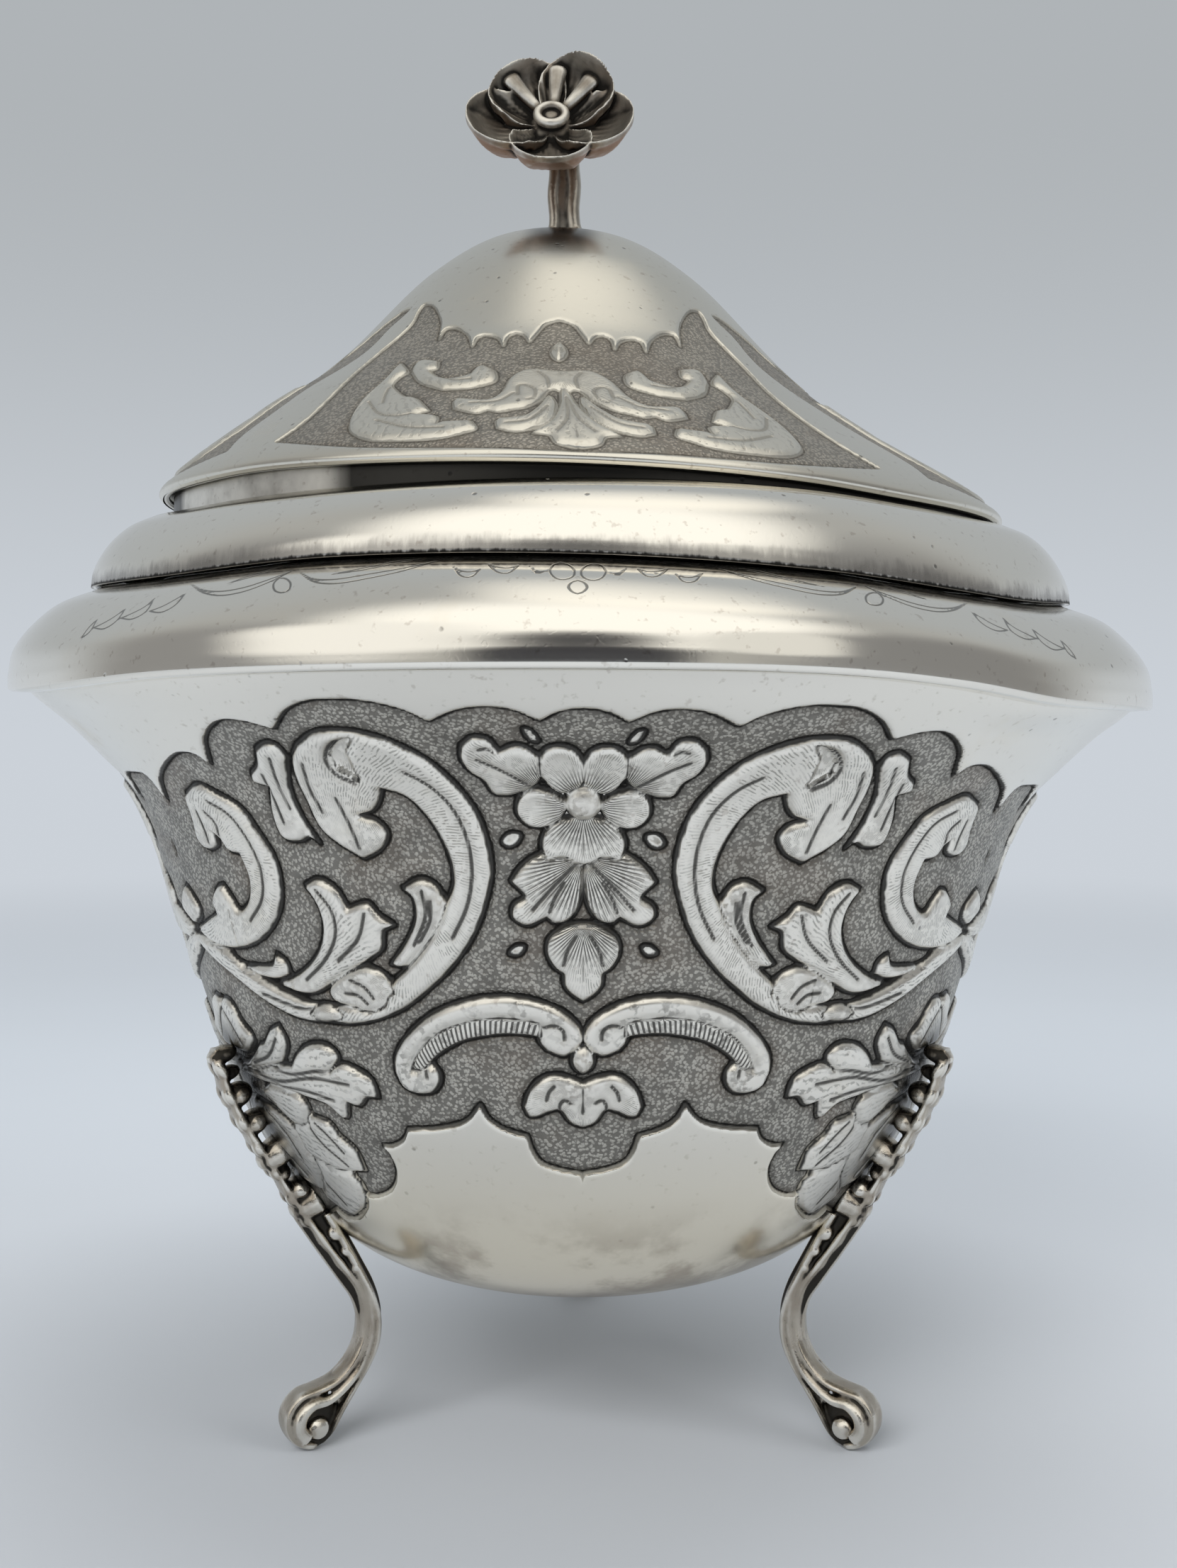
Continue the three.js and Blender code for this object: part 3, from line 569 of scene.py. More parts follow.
@dataclass
class ChasedPanel:
    """Ornament on a turned surface: half a panel in pixels, mirrored and repeated round the piece."""

    line: np.ndarray
    repeats: int
    columns: int
    centre_px: float
    ground: Sequence[Stroke]
    motifs: Sequence[Motif]
    ground_drop: float = 0.35
    groove: float = 0.3
    groove_width: float = 0.28
    vein_width: float = 0.3
    margin: float = 3.0
    least_radius: float = 5.0
    ray_reach: float = 90.0
    ray_step: float = 0.05
    side: float = 0.0
    seen: Optional[np.ndarray] = None

    def half_angles(self) -> np.ndarray:
        """Returns the angles from the panel's middle to its side."""
        steps = self.columns // (2 * self.repeats)
        return np.arange(steps + 1) * 2 * math.pi / self.columns

    def unproject(self, pixels: np.ndarray) -> np.ndarray:
        """Carries pixels onto the turned surface.

        Args:
            pixels: Rows of x and y.

        Returns:
            Rows of the angle to the left of the panel's middle and the distance along the line.
        """
        axis_px = VIEW.width_px / 2 + VIEW.focal_px * (self.side - VIEW.side) / VIEW.distance
        sideways, upward = VIEW.ray(pixels[:, 0] - self.centre_px + axis_px, pixels[:, 1])
        depth = np.arange(VIEW.distance - self.ray_reach, VIEW.distance, self.ray_step)[None, :]
        across = VIEW.side - self.side + sideways[:, None] * depth
        up = VIEW.height + upward[:, None] * depth
        seen = self.line if self.seen is None else self.seen
        order = np.argsort(seen[:, 1])
        surface = np.interp(up, seen[order, 1], seen[order, 0], left=0.0, right=0.0)
        outside = np.hypot(across, depth - VIEW.distance) - surface
        hit = np.argmax(outside <= 0, axis=1)
        missed = ~np.any(outside <= 0, axis=1)
        hit[missed] = np.argmin(outside[missed], axis=1)
        pick = np.arange(len(pixels))
        angle = -np.arctan2(across[pick, hit], VIEW.distance - depth[0, hit])
        reach = np.interp(up[pick, hit], seen[order, 1], arc_lengths(self.line)[order])
        return np.column_stack([angle, reach])

    def distance(self, path: np.ndarray) -> tuple[np.ndarray, np.ndarray]:
        """Measures the half panel against a path of angles and reaches.

        Returns:
            The distance in millimetres to the path, and whether each point lies inside it.
        """
        angles = self.half_angles()[None, :]
        reach = arc_lengths(self.line)[:, None]
        radius = self.line[:, :1]
        nearest = np.full((len(reach), angles.size), FAR**2)
        inside = np.zeros(nearest.shape, bool)
        low, high = path.min(0), path.max(0)
        rows = np.flatnonzero((reach[:, 0] > low[1] - self.margin) & (reach[:, 0] < high[1] + self.margin))
        if not len(rows):
            return np.sqrt(nearest), inside
        wide = self.margin / max(radius[rows].min(), self.least_radius)
        columns = np.flatnonzero((angles[0] > low[0] - wide) & (angles[0] < high[0] + wide))
        if not len(columns):
            return np.sqrt(nearest), inside
        window = np.ix_(rows, columns)
        phi, along, scale = angles[:, columns], reach[rows], radius[rows]
        close = nearest[window]
        odd = inside[window]
        for (phi_a, reach_a), (phi_b, reach_b) in zip(path, path[1:]):
            across, up = scale * (phi_b - phi_a), reach_b - reach_a
            x, y = scale * (phi - phi_a), along - reach_a
            share = np.clip((x * across + y * up) / (across * across + up * up + 1e-9), 0, 1)
            close = np.minimum(close, (x - share * across) ** 2 + (y - share * up) ** 2)
            if up:
                left_of_path = phi < (phi_b - phi_a) * (along - reach_a) / up + phi_a
                odd ^= ((reach_a > along) != (reach_b > along)) & left_of_path
        nearest[window] = close
        inside[window] = odd
        return np.sqrt(nearest), inside

    def signed(self, strokes: Sequence[Stroke]) -> np.ndarray:
        """Returns the distance to an outline, positive inside it."""
        path = self.unproject(outline(strokes))
        gap, inside = self.distance(np.vstack([path, path[:1]]))
        return np.where(inside, gap, -gap)

    def local(self, root_px: Pair) -> tuple[np.ndarray, np.ndarray]:
        """Returns each point's direction from a root, and its distance, in millimetres."""
        angle, reach = self.unproject(np.array([root_px], float))[0]
        x = self.line[:, :1] * (self.half_angles()[None, :] - angle)
        y = arc_lengths(self.line)[:, None] - reach
        return np.arctan2(x, y), np.hypot(x, y)

    def raise_motif(self, work: ReliefField, motif: Motif) -> None:
        """Chases one motif into the field."""
        section = motif.form.value
        gap = self.signed(motif.strokes)
        within = gap > 0
        share = np.clip(gap / section.shoulder, 0, 1)
        top = motif.scale * section.rise * (1 - (1 - share) ** 2)
        top -= section.dish * ease(gap, section.shoulder, 3 * section.shoulder)
        vein_gap = np.full(gap.shape, FAR)
        for vein in motif.veins:
            away, _ = self.distance(self.unproject(smooth_line(vein, 5)))
            taper = np.clip(np.minimum(gap, 1.0), 0, 1)
            top = top - 0.7 * self.groove * bell(away, 0, self.vein_width) * taper
            vein_gap = np.where(within, np.minimum(vein_gap, away + 0.12 * (1 - taper)), vein_gap)
        blend = ease(gap, -0.12, 0.12)
        if motif.form is not Form.GRAVED:
            work.height = work.height * (1 - blend) + (top - self.ground_drop) * blend
        work.height -= self.groove * bell(gap, -0.3, self.groove_width) * (gap < 0.1)
        nearer = np.where(work.edge > 0, np.minimum(work.edge, -gap), np.maximum(work.edge, gap))
        work.edge = np.where(within, gap, nearer)
        root = motif.root or motif.strokes[0][0]
        turn, far = self.local(root)
        marks = turn * motif.lines + far * motif.slant
        work.grain[within] = np.stack([marks, gap, np.ones_like(gap)], -1)[within]
        strength = np.zeros_like(gap)
        spin, out = self.local(motif.hatch_from or root)
        if motif.hatch:
            strength = 1 - ease(out, motif.hatch * 0.45, motif.hatch)
        ribs = spin * motif.hatch_count / (2 * math.pi)
        work.hatch[within] = np.stack([ribs, strength, vein_gap], -1)[within]

    def chase(self) -> ReliefField:
        """Works the ground and every motif of the half panel."""
        size = (len(self.line), len(self.half_angles()))
        panel = self.signed(self.ground) if self.ground else np.full(size, FAR)
        work = ReliefField(
            height=-self.ground_drop * ease(panel, -0.15, 0.3),
            edge=-panel,
            grain=np.zeros((*size, 3)),
            hatch=np.zeros((*size, 3)) + UNHATCHED,
        )
        work.height -= self.groove * bell(panel, 0.2, self.groove_width)
        for motif in self.motifs:
            self.raise_motif(work, motif)
        return work

    def spread(self, values: np.ndarray) -> np.ndarray:
        """Mirrors half a panel's values and repeats them round the piece."""
        per_panel = self.columns // self.repeats
        step = np.arange(self.columns) % per_panel
        return values[:, np.minimum(step, per_panel - step)]

    def sheet_metal(
        self,
        name: str,
        skin: TurnedSkin,
        under: TurnedSkin,
        painted_dark: Callable[[np.ndarray], np.ndarray],
        settle: Callable[[np.ndarray], np.ndarray],
    ) -> bpy.types.Object:
        """Makes a vessel of sheet, with the ornament on its outer skin.

        Args:
            name: The piece's name.
            skin: The outer skin.
            under: The plain inner skin.
            painted_dark: Says how far each outer point is painted black, as painted shade or a painted dark
                reflection.
            settle: Moves the points to where wear has left them.
        """
        work = self.chase()
        outer = skin.points(self.spread(work.height))
        points, faces = MeshMaker.stack([(outer, skin.faces()), under.shell()])
        layers = {
            "edge": padded(self.spread(work.edge).ravel(), len(points), FAR),
            # Painted shade and painted dark reflection, stored with the vertices.
            "painted_dark": padded(painted_dark(outer), len(points)),
            "grain": padded(self.spread(work.grain).reshape(-1, 3), len(points)),
            "hatch": padded(self.spread(work.hatch).reshape(-1, 3), len(points), UNHATCHED),
        }
        return MeshMaker.build(name, settle(points), faces, layers)


# Materials


class Tone(Enum):
    """Plain colours of the metal and what lies on it, and of painted shade and reflection, as linear values.
    """

    SILVER = (0.90, 0.87, 0.80, 1.0)
    WARM_SILVER = (0.84, 0.77, 0.64, 1.0)
    LID_SILVER = (0.76, 0.73, 0.65, 1.0)
    GREY_SILVER = (0.58, 0.56, 0.50, 1.0)
    DUSKY_SILVER = (0.50, 0.455, 0.385, 1.0)
    DARK_SILVER = (0.22, 0.20, 0.175, 1.0)
    # Near black: real oxide in lines, pits and hollows, and also painted shade and dark reflection.
    OXIDE = (0.018, 0.017, 0.016, 1.0)
    GROUND_DARK = (0.10, 0.094, 0.083, 1.0)
    GROUND_LIGHT = (0.58, 0.555, 0.50, 1.0)
    # Painted warm reflection on the low plain metal of the bowl.
    STAINED = (0.98, 0.90, 0.73, 1.0)
    LID_GROUND = (0.50, 0.465, 0.41, 1.0)
    SEAM = (0.055, 0.045, 0.05, 1.0)
    BROWN = (0.21, 0.135, 0.085, 1.0)
    COPPER = (0.33, 0.19, 0.115, 1.0)
    STEEL = (0.42, 0.42, 0.43, 1.0)


class Signal:
    """What one output of a node gives. Arithmetic with it adds Math nodes."""

    def __init__(self, sheet: "NodeSheet", socket: bpy.types.NodeSocket) -> None:
        """Holds an output, and the sheet that its node is on."""
        self.sheet = sheet
        self.socket = socket

    def __add__(self, other: "Value") -> "Signal":
        """Adds a value."""
        return self.sheet.calc("ADD", self, other)

    def __sub__(self, other: "Value") -> "Signal":
        """Takes a value away."""
        return self.sheet.calc("SUBTRACT", self, other)

    def __mul__(self, other: "Value") -> "Signal":
        """Multiplies by a value."""
        return self.sheet.calc("MULTIPLY", self, other)

    def larger(self, other: "Value") -> "Signal":
        """Returns the larger of two values."""
        return self.sheet.calc("MAXIMUM", self, other)

    def size(self) -> "Signal":
        """Returns the value without its sign."""
        return self.sheet.calc("ABSOLUTE", self)

    def wave(self) -> "Signal":
        """Returns a sine wave with one period for each 1 that the value grows by."""
        return self.sheet.calc("SINE", self * (2 * math.pi))

    def part(self, axis: int) -> "Signal":
        """Returns one of a vector's three numbers."""
        return self.sheet.get("ShaderNodeSeparateXYZ", axis, {"Vector": self})

    def ramp(self, low: float, high: float, start: float = 0.0, end: float = 1.0) -> "Signal":
        """Goes smoothly from start to end while the value goes from low to high."""
        inputs = {"Value": self, "From Min": low, "From Max": high, "To Min": start, "To Max": end}
        return self.sheet.get("ShaderNodeMapRange", 0, inputs, interpolation_type="SMOOTHSTEP")


Value = Union[Signal, Tone, float, Sequence[float]]


class NodeSheet:
    """Adds and links the nodes of one material, world or group."""

    def __init__(self, tree: bpy.types.NodeTree) -> None:
        """Works on an existing tree."""
        self.tree = tree

    @classmethod
    def blank(cls, owner: Union[bpy.types.Material, bpy.types.World]) -> "NodeSheet":
        """Opens the nodes of a material or world, and clears them."""
        owner.use_nodes = True
        owner.node_tree.nodes.clear()
        return cls(owner.node_tree)

    def add(self, kind: str, inputs: Optional[dict] = None, **settings) -> bpy.types.Node:
        """Adds a node, sets its properties, and sets or links its inputs."""
        node = self.tree.nodes.new(kind)
        for name, value in settings.items():
            setattr(node, name, value)
        for name, value in (inputs or {}).items():
            self.feed(node.inputs[name], value)
        return node

    def feed(self, target: bpy.types.NodeSocket, value: Value) -> None:
        """Links a signal to an input, or writes a plain value or colour on it."""
        if isinstance(value, Signal):
            self.tree.links.new(value.socket, target)
        else:
            target.default_value = value.value if isinstance(value, Tone) else value

    def get(self, kind: str, output: Union[int, str], inputs: Optional[dict] = None, **settings) -> Signal:
        """Adds a node and returns one of its outputs."""
        return Signal(self, self.add(kind, inputs, **settings).outputs[output])

    def get_all(self, node: bpy.types.Node) -> dict[str, Signal]:
        """Returns all outputs of a node by name."""
        return {socket.name: Signal(self, socket) for socket in node.outputs}

    def calc(self, operation: str, *values: Value, clamp: bool = False) -> Signal:
        """Returns the result of a Math node."""
        return self.get("ShaderNodeMath", 0, dict(enumerate(values)), operation=operation, use_clamp=clamp)

    def vector(self, operation: str, output: Union[int, str], inputs: dict) -> Signal:
        """Returns a result of a Vector Math node."""
        return self.get("ShaderNodeVectorMath", output, inputs, operation=operation)

    def mix(self, share: Value, first: Value, second: Value) -> Signal:
        """Mixes two colours. Sockets 6 and 7 of the node are its colours, and output 2 is the mixed one."""
        return self.get("ShaderNodeMix", 2, {0: share, 6: first, 7: second}, data_type="RGBA")

    def blend(self, share: Value, first: Value, second: Value) -> Signal:
        """Mixes two shaders."""
        return self.get("ShaderNodeMixShader", 0, {0: share, 1: first, 2: second})

    def noise(self, place: Value, scale: float, detail: float = 3.0, roughness: float = 0.5) -> Signal:
        """Returns a noise value near a place."""
        inputs = {"Vector": place, "Scale": scale, "Detail": detail, "Roughness": roughness}
        return self.get("ShaderNodeTexNoise", "Fac", inputs)

    def layer(self, name: str, output: str = "Fac") -> Signal:
        """Returns a value stored with the vertices."""
        return self.get("ShaderNodeAttribute", output, attribute_name=name, attribute_type="GEOMETRY")

    def place(self) -> Signal:
        """Returns the place on the object, in metres."""
        return self.get("ShaderNodeTexCoord", "Object")


class GroupSheet(NodeSheet):
    """The nodes of one shared effect, with its named inputs and results."""

    def __init__(
        self, name: str, vectors: Sequence[str], numbers: Sequence[str], results: Sequence[str]
    ) -> None:
        """Opens a new group."""
        super().__init__(bpy.data.node_groups.new(name, "ShaderNodeTree"))
        sockets = [(title, "INPUT", "NodeSocketVector") for title in vectors]
        sockets += [(title, "INPUT", "NodeSocketFloat") for title in numbers]
        sockets += [(title, "OUTPUT", "NodeSocketFloat") for title in results]
        for title, way, kind in sockets:
            self.tree.interface.new_socket(title, in_out=way, socket_type=kind)
        self.given = self.get_all(self.add("NodeGroupInput"))
        self.results = self.add("NodeGroupOutput").inputs

    def give(self, title: str, value: Signal) -> None:
        """Sends a value out of the group."""
        self.feed(self.results[title], value)


class Effects:
    """Effects that several materials share. Each is a node group, built once."""

    @staticmethod
    def use(sheet: NodeSheet, effect: Callable[[], NodeSheet], inputs: dict[str, Value]) -> dict[str, Signal]:
        """Places an effect's group in a material and returns its results by name."""
        tree = bpy.data.node_groups.get(effect.__name__) or effect().tree
        return sheet.get_all(sheet.add("ShaderNodeGroup", inputs, node_tree=tree))

    @staticmethod
    def tarnish() -> NodeSheet:
        """Cloudy patches of tarnish with finer specks inside them."""
        sheet = GroupSheet("tarnish", ["Place"], ["Spread"], ["Mask", "Speck"])
        place = sheet.given["Place"]
        cloud = sheet.noise(place, 45.0, 4.0, 0.6) * 0.75 + sheet.noise(place, 260.0, 3.0, 0.7) * 0.25
        level = cloud + (sheet.given["Spread"] - 0.5)
        sheet.give("Mask", level.ramp(0.42, 0.66))
        sheet.give("Speck", sheet.noise(place, 900.0, 2.0, 0.6).ramp(0.62, 0.74))
        return sheet

    @staticmethod
    def hand_wear() -> NodeSheet:
        """Fine scratches, hammer planishing and pits left by use."""
        sheet = GroupSheet("hand_wear", ["Place"], [], ["Scratch", "Planish", "Pit"])
        place = sheet.given["Place"]
        lines = []
        for turn, scale in ((0.4, 900.0), (1.9, 1300.0)):
            inputs = {"Vector": place, "Rotation": (turn, turn * 0.5, turn), "Scale": (1, 0.04, 1)}
            turned = sheet.get("ShaderNodeMapping", 0, inputs)
            lines.append(sheet.noise(turned, scale, 1.0).ramp(0.6, 0.7))
        sheet.give("Scratch", lines[0].larger(lines[1]))
        sheet.give("Planish", sheet.noise(place, 110.0, 1.0, 0.4))
        pits = sheet.get("ShaderNodeTexVoronoi", "Distance", {"Vector": place, "Scale": 420.0})
        rare = sheet.noise(place, 300.0, 1.0).ramp(0.6, 0.66)
        sheet.give("Pit", pits.ramp(0.16, 0.06) * rare)
        return sheet

    @staticmethod
    def matting() -> NodeSheet:
        """The ground between motifs, struck all over with a matting punch."""
        sheet = GroupSheet("matting", ["Place"], ["Pitch"], ["Height", "Dark"])
        place = sheet.vector("SCALE", 0, {0: sheet.given["Place"], "Scale": sheet.given["Pitch"]})
        wobble = sheet.get("ShaderNodeTexNoise", "Color", {"Vector": place, "Scale": 0.8, "Detail": 2.0})
        bent = sheet.vector("ADD", 0, {0: place, 1: wobble})
        cells = sheet.get("ShaderNodeTexVoronoi", "Distance", {"Vector": bent, "Scale": 1.0}, feature="F1")
        height = cells.ramp(0.15, 0.72, 1, 0) * 0.7 + sheet.noise(place, 2.4, 3.0, 0.7) * 0.5
        sheet.give("Height", height)
        sheet.give("Dark", height.ramp(0.74, 0.3))
        return sheet

    @staticmethod
    def graver_strokes() -> NodeSheet:
        """Fine parallel strokes of the chasing tool, laid along the lines stored with the vertices."""
        sheet = GroupSheet("graver_strokes", ["Grain", "Place"], [], ["Stroke"])
        grain, place = sheet.given["Grain"], sheet.given["Place"]
        drift = sheet.noise(place, 420.0, 2.0) * 2.2
        lines = (grain.part(0) + drift).wave().ramp(-0.1, 0.75)
        breaks = sheet.noise(place, 1400.0, 2.0).ramp(0.4, 0.56)
        patches = sheet.noise(place, 190.0, 2.0).ramp(0.4, 0.56, 0.25, 1)
        rim = grain.part(1).ramp(0.15, 0.6)
        sheet.give("Stroke", lines * breaks * (patches * rim))
        return sheet


@dataclass
class Look:
    """A surface while its material is built: colour, height in millimetres and roughness at each place."""

    sheet: NodeSheet
    place: Signal
    colour: Signal
    height: Signal
    rough: Signal

    def paint(self, share: Signal, tone: Union[Tone, Signal]) -> None:
        """Lays a colour over a share of the surface."""
        self.colour = self.sheet.mix(share, self.colour, tone)


@dataclass(frozen=True)
class SilverFinish:
    """A silver surface with wear and tarnish.

    Args:
        name: The material's name.
        bright: Colour of the clean metal.
        dull: Colour where tarnish lies.
        spread: How much of the surface the tarnish takes, from 0 to 1.
        roughness: Roughness of the clean metal.
        planish: Depth of the hammer's facets, in millimetres.
        chased: Whether the surface carries chased ornament.
        graved: Whether fine engraved lines run on it.
        line_width: Width of the dark line round each motif, in millimetres.
        ground: Colour of the struck ground's high places.
        contrast: How dark the lines and strokes are, from 0 to 1.
        cast: Whether it is a casting, with a grainy skin and dark hollows.
        back: Colour that the casting has on the side turned away from its face.
        stain_below: Height in millimetres under which the plain metal carries a painted warm reflection,
            brown stain clouds and, lowest, a painted brown reflection, or 0.
        sooted: Whether a stored layer says where the piece is painted black, as painted shade or a painted
            dark reflection.
    """

    name: str
    bright: Tone = Tone.SILVER
    dull: Tone = Tone.WARM_SILVER
    spread: float = 0.4
    roughness: float = 0.2
    planish: float = 0.02
    chased: bool = False
    graved: bool = False
    line_width: float = 0.24
    ground: Tone = Tone.GROUND_LIGHT
    contrast: float = 1.0
    cast: bool = False
    back: Optional[Tone] = None
    stain_below: float = 0.0
    sooted: bool = False

    def dress(self, piece: bpy.types.Object) -> None:
        """Gives the piece this finish."""
        piece.data.materials.clear()
        piece.data.materials.append(self.material())

    def material(self) -> bpy.types.Material:
        """Builds the material, or returns the one already built."""
        title = f"{self.name}_finish"
        if title in bpy.data.materials:
            return bpy.data.materials[title]
        material = bpy.data.materials.new(title)
        sheet = NodeSheet.blank(material)
        look = self.worn(sheet, sheet.place())
        if self.chased:
            self.chase(look)
        if self.stain_below:
            self.stain(look)
        # Painted shade and painted dark reflection, laid on from the stored layer.
        if self.sooted:
            look.paint(sheet.calc("MULTIPLY", sheet.layer("painted_dark"), 0.97, clamp=True), Tone.OXIDE)
        if self.graved:
            self.grave(look)
        if self.cast:
            self.cast_skin(look)
        bump = sheet.get("ShaderNodeBump", 0, {"Height": look.height, "Distance": MM})
        metal = {"Base Color": look.colour, "Metallic": 1.0, "Roughness": look.rough, "Normal": bump}
        surface = sheet.get("ShaderNodeBsdfPrincipled", 0, metal)
        sheet.add("ShaderNodeOutputMaterial", {"Surface": surface})
        return material

    def worn(self, sheet: NodeSheet, place: Signal) -> Look:
        """Returns the look of plain metal with tarnish, scratches and pits."""
        wear = Effects.use(sheet, Effects.hand_wear, {"Place": place})
        stain = Effects.use(sheet, Effects.tarnish, {"Place": place, "Spread": self.spread})
        look = Look(
            sheet,
            place,
            colour=sheet.mix(stain["Mask"] * 0.7, self.bright, self.dull),
            height=wear["Planish"] * self.planish - wear["Scratch"] * 0.0012 - wear["Pit"] * 0.03,
            rough=stain["Mask"] * 0.1 + self.roughness,
        )
        look.paint(stain["Speck"] * 0.25, Tone.BROWN)
        look.paint(wear["Pit"] * 0.6, Tone.OXIDE)
        return look

    def chase(self, look: Look) -> None:
        """Adds the struck ground, with painted shade near the motifs' edges, dark outlines, hatching and
        strokes.
        """
        sheet, place = look.sheet, look.place
        edge = sheet.layer("edge")
        ground = edge.ramp(-0.05, -0.3)
        matting = Effects.use(sheet, Effects.matting, {"Place": place, "Pitch": 2200.0})
        patch = sheet.noise(place, 210.0, 3.0, 0.6).ramp(0.42, 0.7, 0.0, 0.4)
        # Painted shade: the ground darkens towards the motifs' edges; noise adds random dark patches as well.
        edge_shade_and_patches = edge.ramp(-0.2, -1.9, 0.62, 0.0).larger(patch)
        tone = sheet.mix(matting["Dark"] * (0.28 + 0.42 * self.contrast), self.ground, Tone.GROUND_DARK)
        tone = sheet.mix(edge_shade_and_patches * self.contrast, tone, Tone.GROUND_DARK)
        tone = sheet.mix(sheet.noise(place, 95.0).ramp(0.5, 0.68, 0.0, 0.16), tone, Tone.BROWN)
        look.paint(ground, tone)
        grain = sheet.layer("grain", "Vector")
        raised = grain.part(2)
        strokes = Effects.use(sheet, Effects.graver_strokes, {"Grain": grain, "Place": place})["Stroke"]
        strokes = strokes * raised.ramp(0.5, 0.95)
        hatch = sheet.layer("hatch", "Vector")
        ribs = hatch.part(0).wave().ramp(-0.1, 0.5) * hatch.part(1)
        from_vein = hatch.part(2)
        look.paint(strokes * (0.5 * self.contrast), Tone.GROUND_DARK)
        look.paint(from_vein.ramp(1.1, 0.2, 0.0, 0.4), Tone.GROUND_LIGHT)
        from_line = (edge + 0.16).size() - sheet.noise(place, 520.0, 2.0) * 0.3
        line = from_line.ramp(self.line_width, self.line_width * 0.45 - 0.08)
        dark = line.larger((ribs * 0.85).larger(from_vein.ramp(0.34, 0.12, 0.0, 0.9)))
        look.paint(dark * (0.94 * self.contrast), Tone.OXIDE)
        look.height = look.height + matting["Height"] * ground * 0.1 - dark * 0.06 - strokes * 0.025
        look.rough = look.rough + ground * 0.2 + raised * 0.12 + dark * 0.2

    def stain(self, look: Look) -> None:
        """Paints a light, warm reflection on the plain metal low on the piece, adds brown stain clouds, and
        paints a brown dark reflection on the lowest stretch.
        """
        sheet = look.sheet
        top = self.stain_below * MM
        height = look.place.part(2)
        raised = sheet.layer("grain", "Vector").part(2)
        plain = sheet.layer("edge").ramp(-0.3, -0.05) * raised.ramp(0.6, 0.1)
        # Painted reflection: the plain metal low on the piece is painted lighter and warmer.
        look.paint(height.ramp(top, top * 0.6) * plain * 0.75, Tone.STAINED)
        cloud = sheet.noise(look.place, 75.0, 5.0, 0.65).ramp(0.46, 0.64)
        look.paint(cloud * height.ramp(top * 0.76, top * 0.5) * 0.5, Tone.BROWN)
        # Painted reflection: the lowest stretch is painted brown and darker.
        look.paint(height.ramp(top * 0.5, top * 0.36, 0.0, 0.5), Tone.BROWN)

    def grave(self, look: Look) -> None:
        """Adds fine engraved lines, and the dark fuzz of tarnish along the soldered seam."""
        sheet, place = look.sheet, look.place
        line = sheet.layer("edge").size().ramp(0.2, 0.05, 0.0, 0.72)
        look.paint(line, Tone.OXIDE)
        seam = sheet.layer("seam")
        ticks = sheet.get("ShaderNodeMapping", 0, {"Vector": place, "Scale": (1, 1, 0.22)})
        fuzz = sheet.noise(ticks, 1500.0, 2.0, 0.6) * 1.5
        cloud = sheet.noise(place, 160.0, 3.0, 0.6) * 2.6
        near = seam - (fuzz + cloud)
        look.paint(near.ramp(0.2, -1.7, 0.0, 0.55), Tone.SEAM)
        black = (seam - fuzz * 0.55).ramp(0.05, -0.3, 0.0, 0.95)
        look.paint(black, Tone.OXIDE)
        look.rough = look.rough + black * 0.3 + near.ramp(0.2, -1.5, 0.0, 0.15)
        look.height = look.height - line * 0.05

    def cast_skin(self, look: Look) -> None:
        """Adds the grainy skin of a casting, dark in its hollows and rubbed bright on its high places."""
        sheet, place = look.sheet, look.place
        look.height = look.height + sheet.noise(place, 1500.0, 3.0, 0.65) * 0.05
        depth = sheet.layer("hollow") + (sheet.noise(place, 420.0) - 0.5) * 0.16
        hollow = depth.ramp(-0.03, 0.13)
        look.paint(sheet.noise(place, 130.0).ramp(0.42, 0.62) * 0.25, Tone.BROWN)
        if self.back is not None:
            look.paint(sheet.layer("back") * 0.85, self.back)
        look.paint(depth.ramp(-0.06, -0.22) * 0.85, Tone.SILVER)
        look.paint(hollow * 0.93, Tone.OXIDE)
        look.rough = look.rough + hollow * 0.25


CHASED = SilverFinish("chased_silver", chased=True, spread=0.36, stain_below=54.0, sooted=True)
LID_CHASED = SilverFinish(
    "lid_silver",
    bright=Tone.LID_SILVER,
    chased=True,
    line_width=0.15,
    ground=Tone.LID_GROUND,
    contrast=0.42,
    roughness=0.24,
    sooted=True,
)
WIRE = SilverFinish("wire_silver", Tone.GREY_SILVER, Tone.BROWN, roughness=0.22, spread=0.3)
GRAVED = SilverFinish("graved_silver", roughness=0.13, spread=0.34, planish=0.03, graved=True)
CAST = SilverFinish("cast_silver", Tone.DUSKY_SILVER, Tone.BROWN, spread=0.3, roughness=0.24, cast=True)
DULL = SilverFinish("dull_silver", dull=Tone.DARK_SILVER, spread=0.45, roughness=0.34, sooted=True)
PETALS = SilverFinish(
    "petal_silver", Tone.DUSKY_SILVER, Tone.DARK_SILVER, 0.6, roughness=0.36, cast=True, back=Tone.COPPER
)
STALK = SilverFinish("stalk_silver", Tone.GREY_SILVER, Tone.BROWN, spread=0.45, roughness=0.28, cast=True)
STEEL = SilverFinish("steel", Tone.STEEL, Tone.BROWN, roughness=0.38)


def fit(piece: bpy.types.Object, finish: SilverFinish, body: str, node: str) -> bpy.types.Object:
    """Dresses a piece and puts it in the place of a solid.

    Args:
        piece: The piece.
        finish: Its surface.
        body: The body that it moves with.
        node: The solid that it stands for.
    """
    finish.dress(piece)
    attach(piece, body)
    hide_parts(node)
    return piece


# Bowl


